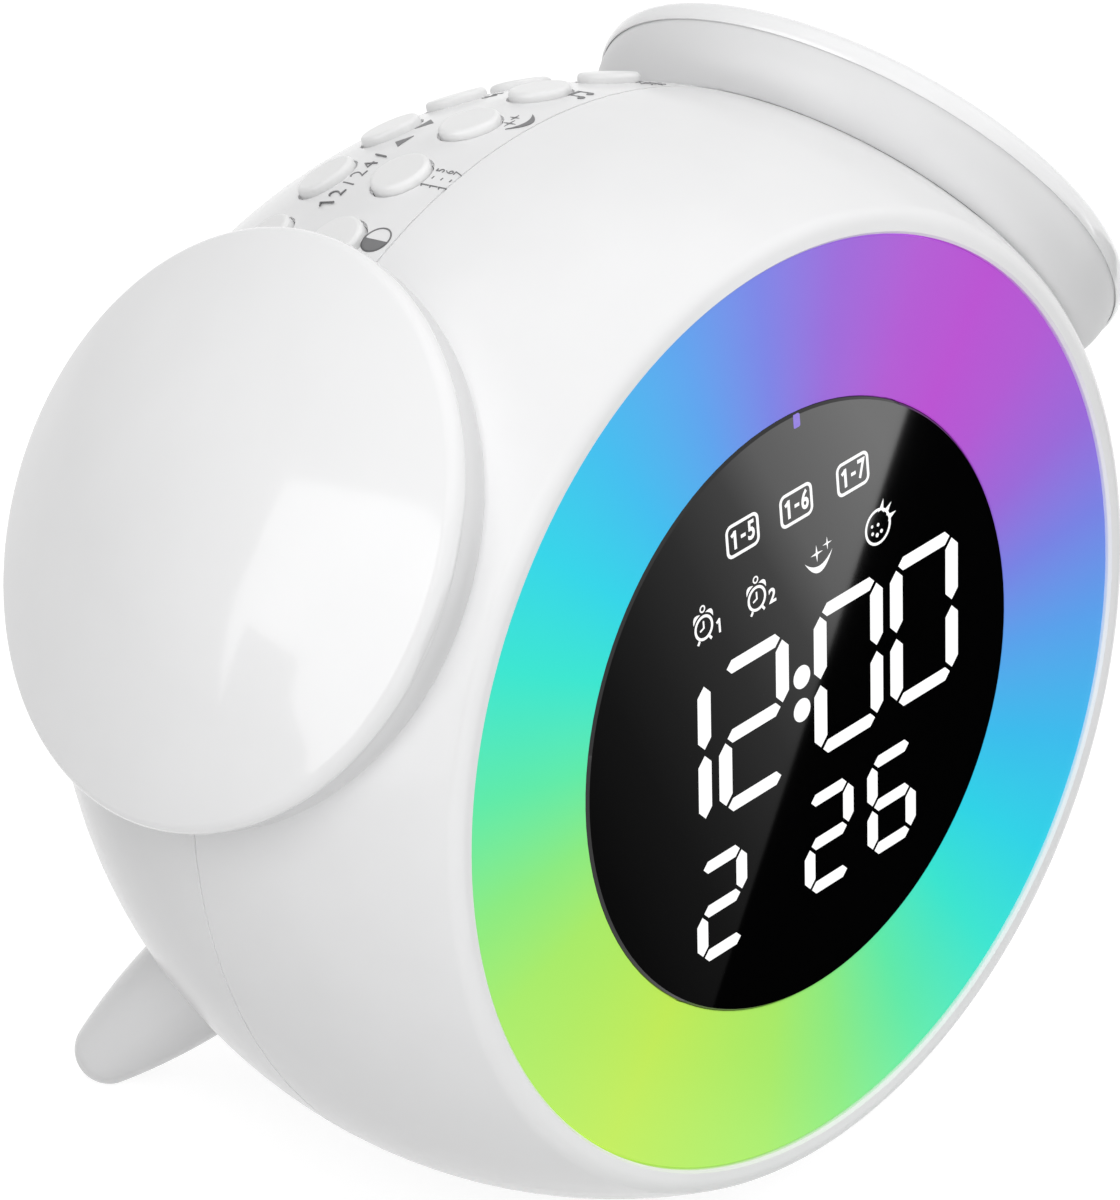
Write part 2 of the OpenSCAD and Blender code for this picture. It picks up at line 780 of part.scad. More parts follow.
module speaker_cone() {
    color("black") on_stand() along_back(0, speaker_down) translate([0, 0, speaker_seat - 4.3])
        rotate_extrude() {
            polygon([[3.6, 0], [speaker_r - 2.6, 4.4], [speaker_r - 2.6, 4.8], [3.6, 0.5]]);
            translate([0, 0]) intersection() {
                difference() {
                    translate([0, -1.6]) circle(4.6, $fn = 48);
                    translate([0, -2.1]) circle(4.6, $fn = 48);
                }
                band(0, 4.2, 0, 4);
            }
            translate([speaker_r - 1.8, 4.6]) difference() {
                circle(0.9, $fn = 32);
                circle(0.5, $fn = 32);
                translate([-2, -4.2]) square([4, 4]);
            }
        }
}

module inlet_socket() {
    color("silver") on_stand() along_back(0, inlet_down)
        translate([0, 0, body_r - 1.4 - inlet_len]) {
            difference() {
                slot_prism(inlet_w, inlet_h, inlet_len);
                translate([0, 0, 1]) slot_prism(inlet_w - 0.6, inlet_h - 0.6, inlet_len);
            }
            translate([-3, -0.35, 1 - eps]) cube([6, 0.7, inlet_len - 2]);
        }
}

module inlet_board() {
    color("seagreen") on_stand() along_back(0, inlet_down)
        translate([-8, inlet_h / 2 + 0.05, inner_r - 12]) cube([16, 1.1, 9]);
}

// ---- legs and foot -----------------------------------------------------------------------

module leg(side) {
    side_c = leg_side_r - leg_r;
    tip_start = leg_mid * leg_side_r / (leg_side_r - leg_tip);
    color("white") difference() {
        on_stand() along_back(side * leg_out, leg_down) {
            difference() {
                // bullet shape: a long side arc that runs into the round tip
                translate([0, 0, leg_root]) rotate_extrude() {
                    intersection() {
                        translate([-side_c, 0]) circle(leg_side_r, $fn = 384);
                        band(0, leg_r, 0, tip_start);
                    }
                    intersection() {
                        translate([0, leg_mid]) circle(leg_tip);
                        band(0, leg_r, tip_start - 1, leg_len);
                    }
                }
                sphere(body_r + 0.05, $fn = 192);
                translate([0, 0, leg_pin_in]) cylinder(r = pilot_r, h = 8);
            }
            difference() {
                translate([0, 0, leg_pin_in]) cylinder(r = leg_pin_r, h = body_r + 2 - leg_pin_in);
                translate([0, 0, leg_pin_in - 1]) cylinder(r = pilot_r, h = 9);
            }
        }
        // flat where the leg meets the table
        translate([-100, -100, -20]) cube([200, 200, 20]);
    }
}

module belly_foot() {
    foot_y = centre_y - sin(lean) * body_r + seam_back - foot_r - 0.9;
    color("dimgray") difference() {
        translate([0, foot_y, 0]) cylinder(r = foot_r, h = 5);
        translate([0, centre_y, centre_z]) sphere(body_r + 0.05, $fn = 360);
    }
}

// ---- screws ----------------------------------------------------------------------------

// Pan-head screw: the head's seat is at z = 0 and the shank runs up
module screw(head_r, head_h, r, len) {
    difference() {
        union() {
            translate([0, 0, -head_h]) cylinder(r = head_r, h = head_h, $fn = 48);
            cylinder(r = r, h = len, $fn = 48);
        }
        for (a = [0, 90])
            rotate([0, 0, a]) translate([-head_r * 0.6, -0.3, -head_h - 0.5])
                cube([head_r * 1.2, 0.6, head_h * 0.5 + 0.5]);
    }
}

module case_screws() {
    color("silver") on_stand()
        for (p = [top_well, low_well])
            both_sides(p) translate([0, 0, well_floor]) screw(2.6, 1.8, shank_r, 16);
}

module leg_screws() {
    color("silver") on_stand() for (out = [-leg_out, leg_out])
        along_back(out, leg_down) translate([0, 0, leg_pin_in])
            screw(2.6, 1.4, shank_r, 7.5);
}

module board_screws() {
    color("silver") on_stand() for (p = board_posts)
        at_polar(p) translate([0, 0, board_z]) mirror([0, 0, 1]) screw(2.2, 1.4, 0.9, 8);
}

// ---- the pieces --------------------------------------------------------------------------

front_shell();
rear_shell();
bezel_ring();
colour_ring();
display_glass();
light_tray();
lamp_board();
lamps();
segment_box();
segment_bars();
display_board();
ear_cap(-1);  // left_ear_cap
ear_cap(1);  // right_ear_cap
ear_base(-1);  // left_ear_base
ear_base(1);  // right_ear_base
ear_switch(-1);  // left_ear_switch
ear_switch(1);  // right_ear_switch
key(0, front_row);  // brightness_key
key(1, front_row);  // weekday_key
key(2, front_row);  // sleep_key
key(3, front_row);  // music_key
key(4, front_row);  // lamp_key
key(0, back_row);  // set_key
key(1, back_row);  // hour_key
key(2, back_row);  // down_key
key(3, back_row);  // volume_key
key(4, back_row);  // alarm_key
key_mat();
key_board();
main_board();
board_parts();
battery_cell();
battery_cradle();
speaker_basket();
speaker_cone();
inlet_socket();
inlet_board();
leg(-1);  // left_leg
leg(1);  // right_leg
belly_foot();
case_screws();
leg_screws();
board_screws();
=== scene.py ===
"""Sunrise alarm clock: finishes, lit display, printed signs and studio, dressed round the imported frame.

Everything is in metres and in the frame's axes. Sizes in the classes are in millimetres, as on a
drawing, and MM turns them into metres. "Face axes" have their origin at the ball's centre, x to
the right seen from the front, y up along the face and z out of the face.
"""

import logging
import math
from dataclasses import dataclass, field
from enum import Enum
from typing import Iterable, Sequence

import bpy
from mathutils import Matrix, Vector


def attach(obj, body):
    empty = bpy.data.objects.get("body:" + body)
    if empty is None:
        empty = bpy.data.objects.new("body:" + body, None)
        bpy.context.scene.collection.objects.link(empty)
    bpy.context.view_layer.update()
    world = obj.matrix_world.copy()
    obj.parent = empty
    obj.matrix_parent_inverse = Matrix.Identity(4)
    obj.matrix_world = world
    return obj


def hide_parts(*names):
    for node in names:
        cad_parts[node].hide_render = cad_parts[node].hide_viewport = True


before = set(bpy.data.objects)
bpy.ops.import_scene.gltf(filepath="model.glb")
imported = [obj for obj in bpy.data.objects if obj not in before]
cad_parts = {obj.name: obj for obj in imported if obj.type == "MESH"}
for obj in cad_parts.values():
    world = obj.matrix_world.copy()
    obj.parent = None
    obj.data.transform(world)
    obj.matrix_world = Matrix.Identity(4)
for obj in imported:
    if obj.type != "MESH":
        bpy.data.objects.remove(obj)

LOG = logging.getLogger("sunrise_clock")
MM = 0.001
# Points of a turned piece that are nearer than this are merged, in millimetres.
MERGE = 0.002
# A turned piece keeps an edge sharp where it bends by more than this, in degrees.
CREASE = 28.0

Point = tuple[float, float]
Colour = tuple[float, float, float]
Piece = bpy.types.Object
Socket = bpy.types.NodeSocket


# ---- placing -----------------------------------------------------------------------------


def turned(angle: float, axis: str) -> Matrix:
    """A turn round an axis, in degrees."""
    return Matrix.Rotation(math.radians(angle), 4, axis)


def moved(x: float, y: float, z: float = 0.0) -> Matrix:
    """A move, in millimetres."""
    return Matrix.Translation(Vector((x, y, z)) * MM)


@dataclass(frozen=True)
class Stance:
    """How the ball stands: its lean and its centre in the frame, in degrees and millimetres."""

    lean: float = 6.0
    ball_r: float = 58.8
    face_z: float = 26.5
    bezel_round: float = 2.0
    belly_gap: float = 0.8
    ear_up: float = 34.0
    ear_back: float = 4.5
    seam_z: float = -4.3
    key_first: float = -23.94
    key_pitch: float = 10.62
    key_columns: int = 5
    key_rows: Point = (11.3, 23.29)

    @property
    def corner(self) -> Point:
        """Middle of the rounding round the face: its distance from the face's axis, and its height."""
        height = self.face_z - self.bezel_round
        return math.sqrt((self.ball_r - self.bezel_round) ** 2 - height**2), height

    @property
    def centre(self) -> Vector:
        """The ball's centre in the frame, in metres.

        Returns:
            The point.
        """
        corner_r, corner_z = self.corner
        lean = math.radians(self.lean)
        reach = corner_z * math.cos(lean) + corner_r * math.sin(lean) + self.bezel_round
        return Vector((0.0, (reach - self.ball_r) / 2, self.ball_r + self.belly_gap)) * MM

    @property
    def face(self) -> Matrix:
        """Takes face axes to the frame."""
        return Matrix.Translation(self.centre) @ turned(90 - self.lean, "X")

    def on_face(self, x: float, y: float, z: float) -> Matrix:
        """Takes a sign drawn flat at its own origin to a place on the face, in millimetres."""
        return self.face @ moved(x, y, z)

    def on_ball(self, turn: float, back: float, height: float) -> Matrix:
        """Takes a sign drawn flat to the top of the ball, reading from the front.

        Args:
            turn: angle from the middle towards the right ear, in degrees.
            back: angle behind the top of the ball, in degrees.
            height: distance from the ball's centre, in millimetres.

        Returns:
            A matrix whose z points out of the ball and whose y points to the rear.
        """
        return self.face @ turned(-turn, "Z") @ turned(-(90 + back), "X") @ moved(0, 0, height)

    def on_ear(self, side: int) -> Matrix:
        """Takes z to the axis of an ear: side is 1 for the right ear and -1 for the left."""
        turn = self.ear_up if side > 0 else 180 - self.ear_up
        return self.face @ turned(turn, "Z") @ turned(90 + self.ear_back, "Y")


STANCE = Stance()


# ---- modelling by hand -------------------------------------------------------------------


def rest() -> None:
    """Leaves edit mode and deselects every object."""
    if bpy.context.object and bpy.context.object.mode != "OBJECT":
        bpy.ops.object.mode_set(mode="OBJECT")
    bpy.ops.object.select_all(action="DESELECT")


def hold(*pieces: Piece) -> Piece:
    """Selects the pieces alone and makes the first of them active.

    Args:
        pieces: what is selected.

    Returns:
        The first of them.
    """
    rest()
    for piece in pieces:
        piece.select_set(True)
    bpy.context.view_layer.objects.active = pieces[0]
    return pieces[0]


def edit(piece: Piece) -> Piece:
    """Opens one piece in edit mode with all of it selected.

    Args:
        piece: what is opened.

    Returns:
        The same piece.
    """
    hold(piece)
    bpy.ops.object.mode_set(mode="EDIT")
    bpy.ops.mesh.select_mode(type="VERT")
    bpy.ops.mesh.select_all(action="SELECT")
    return piece


def applied() -> Piece:
    """Applies the active piece's place to its mesh, and returns the piece."""
    bpy.ops.object.transform_apply(location=True, rotation=True, scale=True)
    return bpy.context.object


def opened() -> Piece:
    """Applies the place of a new primitive and opens it in edit mode."""
    return edit(applied())


def thicken(depth: float) -> None:
    """Extrudes the open piece's whole face by depth millimetres downwards and closes it.

    Args:
        depth: the solid's thickness.
    """
    bpy.ops.mesh.select_all(action="SELECT")
    bpy.ops.mesh.extrude_region_move(TRANSFORM_OT_translate={"value": (0, 0, -depth * MM)})
    bpy.ops.mesh.select_all(action="SELECT")
    bpy.ops.mesh.normals_make_consistent(inside=False)
    bpy.ops.object.mode_set(mode="OBJECT")


def settle(piece: Piece, place: Matrix) -> Piece:
    """Moves a finished piece's mesh to its place and leaves the object at the origin.

    Args:
        piece: what is moved.
        place: takes the mesh to its place.

    Returns:
        The same piece.
    """
    hold(piece)
    piece.matrix_world = place
    return applied()


def copy_of(piece: Piece) -> Piece:
    """A copy of a piece with its own mesh.

    Args:
        piece: what is copied.

    Returns:
        The copy.
    """
    hold(piece)
    bpy.ops.object.duplicate(linked=False)
    return bpy.context.object


def named(piece: Piece, name: str) -> Piece:
    """Gives a piece and its mesh their name.

    Args:
        piece: what is named.
        name: letters and low lines.

    Returns:
        The same piece.
    """
    piece.name = name
    piece.data.name = name
    return piece


def joined(pieces: Sequence[Piece], name: str) -> Piece:
    """Joins pieces that share a finish into one named piece.

    Args:
        pieces: those to join.
        name: of the whole.

    Returns:
        The whole.
    """
    whole = hold(*pieces)
    if len(pieces) > 1:
        bpy.ops.object.join()
    return named(whole, name)


def on_arc(middle: Point, r: float, angle: float) -> Point:
    """The point at an angle of a circle, in degrees."""
    turn = math.radians(angle)
    return middle[0] + r * math.cos(turn), middle[1] + r * math.sin(turn)


def arc(middle: Point, r: float, start: float, end: float, steps: int) -> list[Point]:
    """Points along an arc, from one angle to another, in degrees."""
    return [on_arc(middle, r, start + (end - start) * k / steps) for k in range(steps + 1)]


def trace(points: Sequence[tuple], unit: float) -> Piece:
    """Draws edges through points by extruding one vertex, and leaves them open and selected.

    Args:
        points: the corners, three numbers each.
        unit: metres in one of these numbers.

    Returns:
        The piece, in edit mode.
    """
    rest()
    bpy.ops.mesh.primitive_plane_add(size=unit, location=tuple(c * unit for c in points[0]))
    piece = opened()
    bpy.ops.mesh.merge(type="CENTER")
    for here, there in zip(points, points[1:]):
        step = tuple((b - a) * unit for a, b in zip(here, there))
        bpy.ops.mesh.extrude_region_move(TRANSFORM_OT_translate={"value": step})
    bpy.ops.mesh.select_all(action="SELECT")
    return piece


def lathe(name: str, path: Sequence[Point], place: Matrix, steps: int, closed: bool = True) -> Piece:
    """Turns a path of (radius, height) points round the z axis.

    Args:
        name: the new piece's name.
        path: the points in millimetres; the ends of an open path lie on the axis.
        place: takes the turned piece to its place.
        steps: pieces of a full turn.
        closed: whether the path ends where it starts.

    Returns:
        The turned piece, smooth but for its sharp edges.
    """
    points = [(r, 0.0, height) for r, height in path]
    piece = trace([*points, points[0]] if closed else points, MM)
    bpy.ops.mesh.spin(steps=steps, angle=math.tau, center=(0, 0, 0), axis=(0, 0, 1))
    bpy.ops.mesh.select_all(action="SELECT")
    bpy.ops.mesh.remove_doubles(threshold=MERGE * MM)
    bpy.ops.mesh.normals_make_consistent(inside=False)
    settle(piece, place)
    bpy.ops.object.shade_smooth_by_angle(angle=math.radians(CREASE))
    return named(piece, name)


def outline(corners: Sequence[Point], unit: float = MM) -> Piece:
    """A flat face through its corners on the plane z = 0.

    Args:
        corners: in their order.
        unit: metres in one of their numbers.

    Returns:
        The face.
    """
    piece = trace([(x, y, 0.0) for x, y in corners], unit)
    bpy.ops.mesh.edge_face_add()
    bpy.ops.object.mode_set(mode="OBJECT")
    return piece


@dataclass(frozen=True)
class Lettering:
    """A style of numerals: height, pitch and line, and how far the typeface is thickened and squeezed."""

    height: float
    pitch: float
    line: float
    bold: float
    narrow: float = 1.0


@dataclass(frozen=True)
class Sketch:
    """Flat shapes on the plane z = 0, as solids of one thickness, for lit bars and printed signs.

    The shares are of the shape's own size; type_height is a numeral's height in type of size 1.
    """

    depth: float
    round_steps: int = 48
    corner_steps: int = 6
    star_waist: float = 0.2
    moon_sag: float = 0.42
    moon_steps: int = 14
    type_height: float = 0.7
    flag: float = 0.26
    hyphen: float = 0.17
    slope: float = 0.12

    def circle(self, r: float, x: float, y: float, around: int) -> Piece:
        """A round flat face, open in edit mode.

        Args:
            r: radius.
            x: of the middle.
            y: of the middle.
            around: corners.

        Returns:
            The face.
        """
        rest()
        bpy.ops.mesh.primitive_circle_add(
            vertices=around, radius=r * MM, fill_type="NGON", location=(x * MM, y * MM, 0)
        )
        return opened()

    def drawn(self, line: float) -> None:
        """Leaves a line of the open face's edge, and thickens it.

        Args:
            line: width of the line.
        """
        bpy.ops.mesh.inset(thickness=line * MM, depth=0)
        bpy.ops.mesh.delete(type="FACE")
        thicken(self.depth)

    def disc(self, r: float, x: float = 0.0, y: float = 0.0, around: int = 20) -> Piece:
        """A round dot of radius r.

        Args:
            r: radius.
            x: of the middle.
            y: of the middle.
            around: corners.

        Returns:
            The dot.
        """
        piece = self.circle(r, x, y, around)
        thicken(self.depth)
        return piece

    def hoop(self, r: float, line: float, y: float = 0.0) -> Piece:
        """A circle drawn with a line of the given width, r being its outer radius.

        Args:
            r: outer radius.
            line: width of the line.
            y: of the middle.

        Returns:
            The circle.
        """
        piece = self.circle(r, 0.0, y, self.round_steps)
        self.drawn(line)
        return piece

    def box(self, w: float, h: float, corner: float, line: float) -> Piece:
        """A rounded box drawn with a line, centred on the origin.

        Args:
            w: width.
            h: height.
            corner: cut off at each corner.
            line: width of the line.

        Returns:
            The box.
        """
        rest()
        bpy.ops.mesh.primitive_plane_add(size=MM)
        bpy.ops.transform.resize(value=(w, h, 1))
        piece = opened()
        bpy.ops.mesh.bevel(offset=corner * MM, segments=self.corner_steps, affect="VERTICES")
        bpy.ops.mesh.select_all(action="SELECT")
        self.drawn(line)
        return piece

    def polygon(self, corners: Sequence[Point]) -> Piece:
        """A flat shape through its corners.

        Args:
            corners: in their order.

        Returns:
            The shape.
        """
        piece = edit(outline(corners))
        thicken(self.depth)
        return piece

    def stroke(self, a: Point, b: Point, line: float) -> Piece:
        """A straight stroke of the given width between two points.

        Args:
            a: one end.
            b: the other end.
            line: width of the stroke.

        Returns:
            The stroke.
        """
        span = Vector((b[0] - a[0], b[1] - a[1]))
        side = Vector((-span.y, span.x)).normalized() * line / 2
        return self.polygon([
            (a[0] + side.x, a[1] + side.y), (b[0] + side.x, b[1] + side.y),
            (b[0] - side.x, b[1] - side.y), (a[0] - side.x, a[1] - side.y),
        ])

    def sparkle(self, x: float, y: float, reach: float) -> Piece:
        """A four-pointed star."""
        waist = reach * self.star_waist
        return self.polygon([on_arc((x, y), waist if k % 2 else reach, 90 - 45 * k) for k in range(8)])

    def crescent(self, w: float, thick: float, x: float = 0.0, y: float = 0.0) -> Piece:
        """A moon that lies on its back: two arcs between the same tips, w apart.

        Args:
            w: from tip to tip.
            thick: at the middle.
            x: of the tips' middle.
            y: of the tips.

        Returns:
            The moon.
        """
        outer = w * self.moon_sag
        inner = outer - thick
        across = [-1 + 2 * k / self.moon_steps for k in range(self.moon_steps + 1)]
        low = [(x + w / 2 * t, y - outer * (1 - t * t)) for t in across]
        high = [(x + w / 2 * t, y - inner * (1 - t * t)) for t in reversed(across[1:-1])]
        return self.polygon(low + high)

    def numeral(self, sign: str, style: Lettering, x: float, y: float) -> Piece:
        """One numeral in a plain typeface, centred on a point.

        Args:
            sign: the numeral.
            style: of its row.
            x: of its middle.
            y: of its middle.

        Returns:
            The numeral as a thin solid.
        """
        rest()
        bpy.ops.object.text_add(location=(0, 0, 0))
        piece = bpy.context.object
        letters = piece.data
        letters.body = sign
        letters.size = style.height * MM / self.type_height
        letters.align_x = "CENTER"
        letters.align_y = "CENTER"
        letters.offset = style.bold * MM
        letters.extrude = self.depth / 2 * MM
        letters.resolution_u = 3
        bpy.ops.object.convert(target="MESH")
        return settle(piece, moved(x, y, -self.depth / 2) @ Matrix.Diagonal((style.narrow, 1.0, 1.0, 1.0)))

    def label(self, text: str, style: Lettering, x: float = 0.0, y: float = 0.0) -> list[Piece]:
        """Signs spaced evenly, with a one that has a flag.

        Args:
            text: numerals, hyphens and slashes.
            style: of the row.
            x: middle of the row.
            y: middle of the row's height.

        Returns:
            The signs as thin solids.
        """
        half = style.height / 2
        flag, hyphen, slope = (style.height * share for share in (self.flag, self.hyphen, self.slope))
        strokes = {
            "1": [((0, -half), (0, half)), ((0, half - style.line / 2), (-flag, half * 0.5))],
            "-": [((-hyphen, 0), (hyphen, 0))],
            "/": [((-slope, -half), (slope, half))],
        }
        made = []
        for k, sign in enumerate(text):
            at = x + style.pitch * (k - (len(text) - 1) / 2)
            if sign not in strokes:
                made.append(self.numeral(sign, style, at, y))
            for a, b in strokes.get(sign, []):
                made.append(self.stroke((at + a[0], y + a[1]), (at + b[0], y + b[1]), style.line))
        return made


# ---- finishes ----------------------------------------------------------------------------


def grey(level: float) -> tuple[float, float, float, float]:
    """A grey in linear light, as a socket takes it."""
    return level, level, level, 1.0


class Graph:
    """A tree of shader nodes."""

    def __init__(self, tree: bpy.types.NodeTree) -> None:
        """Keeps the tree that is filled."""
        self.tree = tree

    def feed(self, target: Socket, value: object) -> None:
        """Wires a socket, or a node's first output, to an input, or sets the input's value.

        Args:
            target: the input.
            value: what it gets.
        """
        if isinstance(value, bpy.types.Node):
            value = value.outputs[0]
        if isinstance(value, Socket):
            self.tree.links.new(value, target)
        else:
            target.default_value = value

    def node(self, kind: str, *inputs: object, **values: object) -> bpy.types.Node:
        """Adds a node.

        Args:
            kind: its type, without the ShaderNode in front.
            inputs: what its first inputs are fed with, in their order.
            values: its properties, and inputs by name with _ for a space.

        Returns:
            The node.
        """
        made = self.tree.nodes.new("ShaderNode" + kind)
        for target, value in zip(made.inputs, inputs):
            self.feed(target, value)
        for key, value in values.items():
            if hasattr(made, key):
                setattr(made, key, value)
            else:
                self.feed(made.inputs[key.replace("_", " ")], value)
        return made

    def dot(self, point: Socket, way: Sequence[float]) -> Socket:
        """How far a point lies along a direction."""
        return self.node("VectorMath", point, way, operation="DOT_PRODUCT").outputs["Value"]

    def ramp(self, source: object, stops: Sequence[tuple[float, Colour]]) -> Socket:
        """A colour ramp through (place, linear colour) stops.

        Args:
            source: picks the place, from 0 to 1.
            stops: two or more, in their order.

        Returns:
            The colour.
        """
        made = self.node("ValToRGB", source)
        while len(made.color_ramp.elements) < len(stops):
            made.color_ramp.elements.new(0.5)
        for element, (where, colour) in zip(made.color_ramp.elements, stops):
            element.position = where
            element.color = (*colour, 1.0)
        return made.outputs["Color"]


class Surface(Graph):
    """A material round a Principled shader, with patterns that stay on the piece."""

    def __init__(self, name: str) -> None:
        """Starts the material.

        Args:
            name: of the material.
        """
        self.material = bpy.data.materials.new(name)
        self.material.use_nodes = True
        super().__init__(self.material.node_tree)
        self.shader = self.tree.nodes["Principled BSDF"]
        self.place = self.node("TexCoord").outputs["Object"]

    def noise(self, scale: float, detail: float = 3.0, roughness: float = 0.5) -> Socket:
        """Noise over the object, with scale in cells per metre."""
        made = self.node("TexNoise", Vector=self.place, Scale=scale, Detail=detail, Roughness=roughness)
        return made.outputs["Fac"]

    def spread(self, source: Socket, low: float, high: float) -> Socket:
        """Takes noise between 0.3 and 0.7 to a range of values."""
        made = self.node("MapRange", Value=source, From_Min=0.3, From_Max=0.7, To_Min=low, To_Max=high)
        return made.outputs["Result"]

    def bump(self, source: Socket, strength: float, depth: float) -> Socket:
        """A relief of depth metres."""
        return self.node("Bump", Height=source, Strength=strength, Distance=depth).outputs["Normal"]

    def paint(self, **values: object) -> bpy.types.Material:
        """Feeds the shader's inputs, named with _ for a space, and returns the material.

        Args:
            values: for the inputs.

        Returns:
            The material.
        """
        for key, value in values.items():
            self.feed(self.shader.inputs[key.replace("_", " ")], value)
        return self.material


def scaled(colour: Colour, share: float) -> Colour:
    """A lighter or darker colour, at most white."""
    return tuple(min(1.0, c * share) for c in colour)


def linear(r: int, g: int, b: int) -> Colour:
    """A screen colour from 0 to 255 as linear light.

    Args:
        r: red.
        g: green.
        b: blue.

    Returns:
        The colour, each part from 0 to 1.
    """

    def one(v: int) -> float:
        """One channel."""
        c = v / 255
        return c / 12.92 if c <= 0.04045 else ((c + 0.055) / 1.055) ** 2.4

    return one(r), one(g), one(b)


@dataclass(frozen=True)
class Moulded:
    """Moulded plastic, rubber or coated board: a colour that varies a little, and a fine relief."""

    name: str
    colour: Colour
    gloss: float
    coat: float = 0.0
    specular: float = 0.5
    drift: float = 0.02
    drift_cells: float = 35.0
    smear_cells: float = 60.0
    grain: float = 900.0
    relief: float = 0.00001
    relief_strength: float = 0.35
    coat_gloss: float = 0.06

    def make(self) -> bpy.types.Material:
        """Makes the material.

        Returns:
            The material.
        """
        surface = Surface(self.name)
        shades = [(0.35, scaled(self.colour, 1 - self.drift)), (0.65, scaled(self.colour, 1 + self.drift))]
        smear = surface.noise(self.smear_cells, 5.0)
        return surface.paint(
            Base_Color=surface.ramp(surface.noise(self.drift_cells), shades),
            Roughness=surface.spread(smear, self.gloss * 0.9, self.gloss * 1.1),
            Normal=surface.bump(surface.noise(self.grain, 2.0), self.relief_strength, self.relief),
            Specular_IOR_Level=self.specular,
            Coat_Weight=self.coat,
            Coat_Roughness=self.coat_gloss,
        )


@dataclass(frozen=True)
class Turned:
    """Bright metal with fine turning lines."""

    name: str
    colour: Colour = (0.58, 0.58, 0.6)
    gloss: float = 0.28
    lines: float = 2500.0

    def make(self) -> bpy.types.Material:
        """Makes the material.

        Returns:
            The material.
        """
        surface = Surface(self.name)
        lines = surface.noise(self.lines, 2.0, 0.7)
        return surface.paint(
            Base_Color=surface.ramp(lines, [(0.3, scaled(self.colour, 0.85)), (0.7, self.colour)]),
            Roughness=surface.spread(lines, self.gloss * 0.8, self.gloss * 1.3),
            Metallic=1.0,
        )


@dataclass(frozen=True)
class Rainbow:
    """Milky diffuser that glows in hues which turn with the angle round the face."""

    name: str = "ring_glow"
    crest: float = 47.0
    strength: float = 0.8
    body: float = 0.22
    specular: float = 0.3
    hues: tuple = (
        (0.0, (184, 72, 208)), (0.08, (176, 82, 210)), (0.17, (152, 100, 216)), (0.25, (118, 128, 228)),
        (0.33, (86, 160, 236)), (0.42, (56, 188, 238)), (0.5, (42, 212, 232)), (0.58, (54, 230, 208)),
        (0.67, (94, 235, 168)), (0.75, (138, 235, 128)), (0.83, (168, 235, 102)), (1.0, (192, 235, 84)),
    )

    def make(self) -> bpy.types.Material:
        """Makes the material: the angle from the crest, over half a turn, picks the hue.

        Returns:
            The material.
        """
        surface = Surface(self.name)
        axes = STANCE.face.to_3x3()
        across, along = (axes.col[k].normalized() for k in (0, 1))
        crest = math.radians(self.crest)
        toward = across * math.cos(crest) + along * math.sin(crest)
        beside = along * math.cos(crest) - across * math.sin(crest)
        place = surface.node("VectorMath", surface.place, STANCE.centre, operation="SUBTRACT").outputs[0]
        side = surface.node("Math", surface.dot(place, beside), operation="ABSOLUTE")
        angle = surface.node("Math", side, surface.dot(place, toward), operation="ARCTAN2")
        share = surface.node("Math", angle, math.pi, operation="DIVIDE")
        glow = [(where, linear(*hue)) for where, hue in self.hues]
        return surface.paint(
            Emission_Color=surface.ramp(share, glow),
            Emission_Strength=self.strength,
            Base_Color=surface.ramp(share, [(where, scaled(hue, self.body)) for where, hue in glow]),
            Roughness=surface.spread(surface.noise(80.0), 0.3, 0.36),
            Specular_IOR_Level=self.specular,
        )


@dataclass(frozen=True)
class Lit:
    """Evenly lit bar or sign behind the dark glass."""

    name: str
    colour: Colour = (1.0, 1.0, 1.0)
    strength: float = 1.0

    def make(self) -> bpy.types.Material:
        """Makes the material: light with a trace of unevenness from the lamp behind it.

        Returns:
            The material.
        """
        surface = Surface(self.name)
        shades = [(0.3, scaled(self.colour, 0.97)), (0.7, self.colour)]
        return surface.paint(
            Emission_Color=surface.ramp(surface.noise(120.0), shades),
            Emission_Strength=self.strength,
            Base_Color=(*scaled(self.colour, 0.1), 1.0),
            Roughness=0.4,
        )


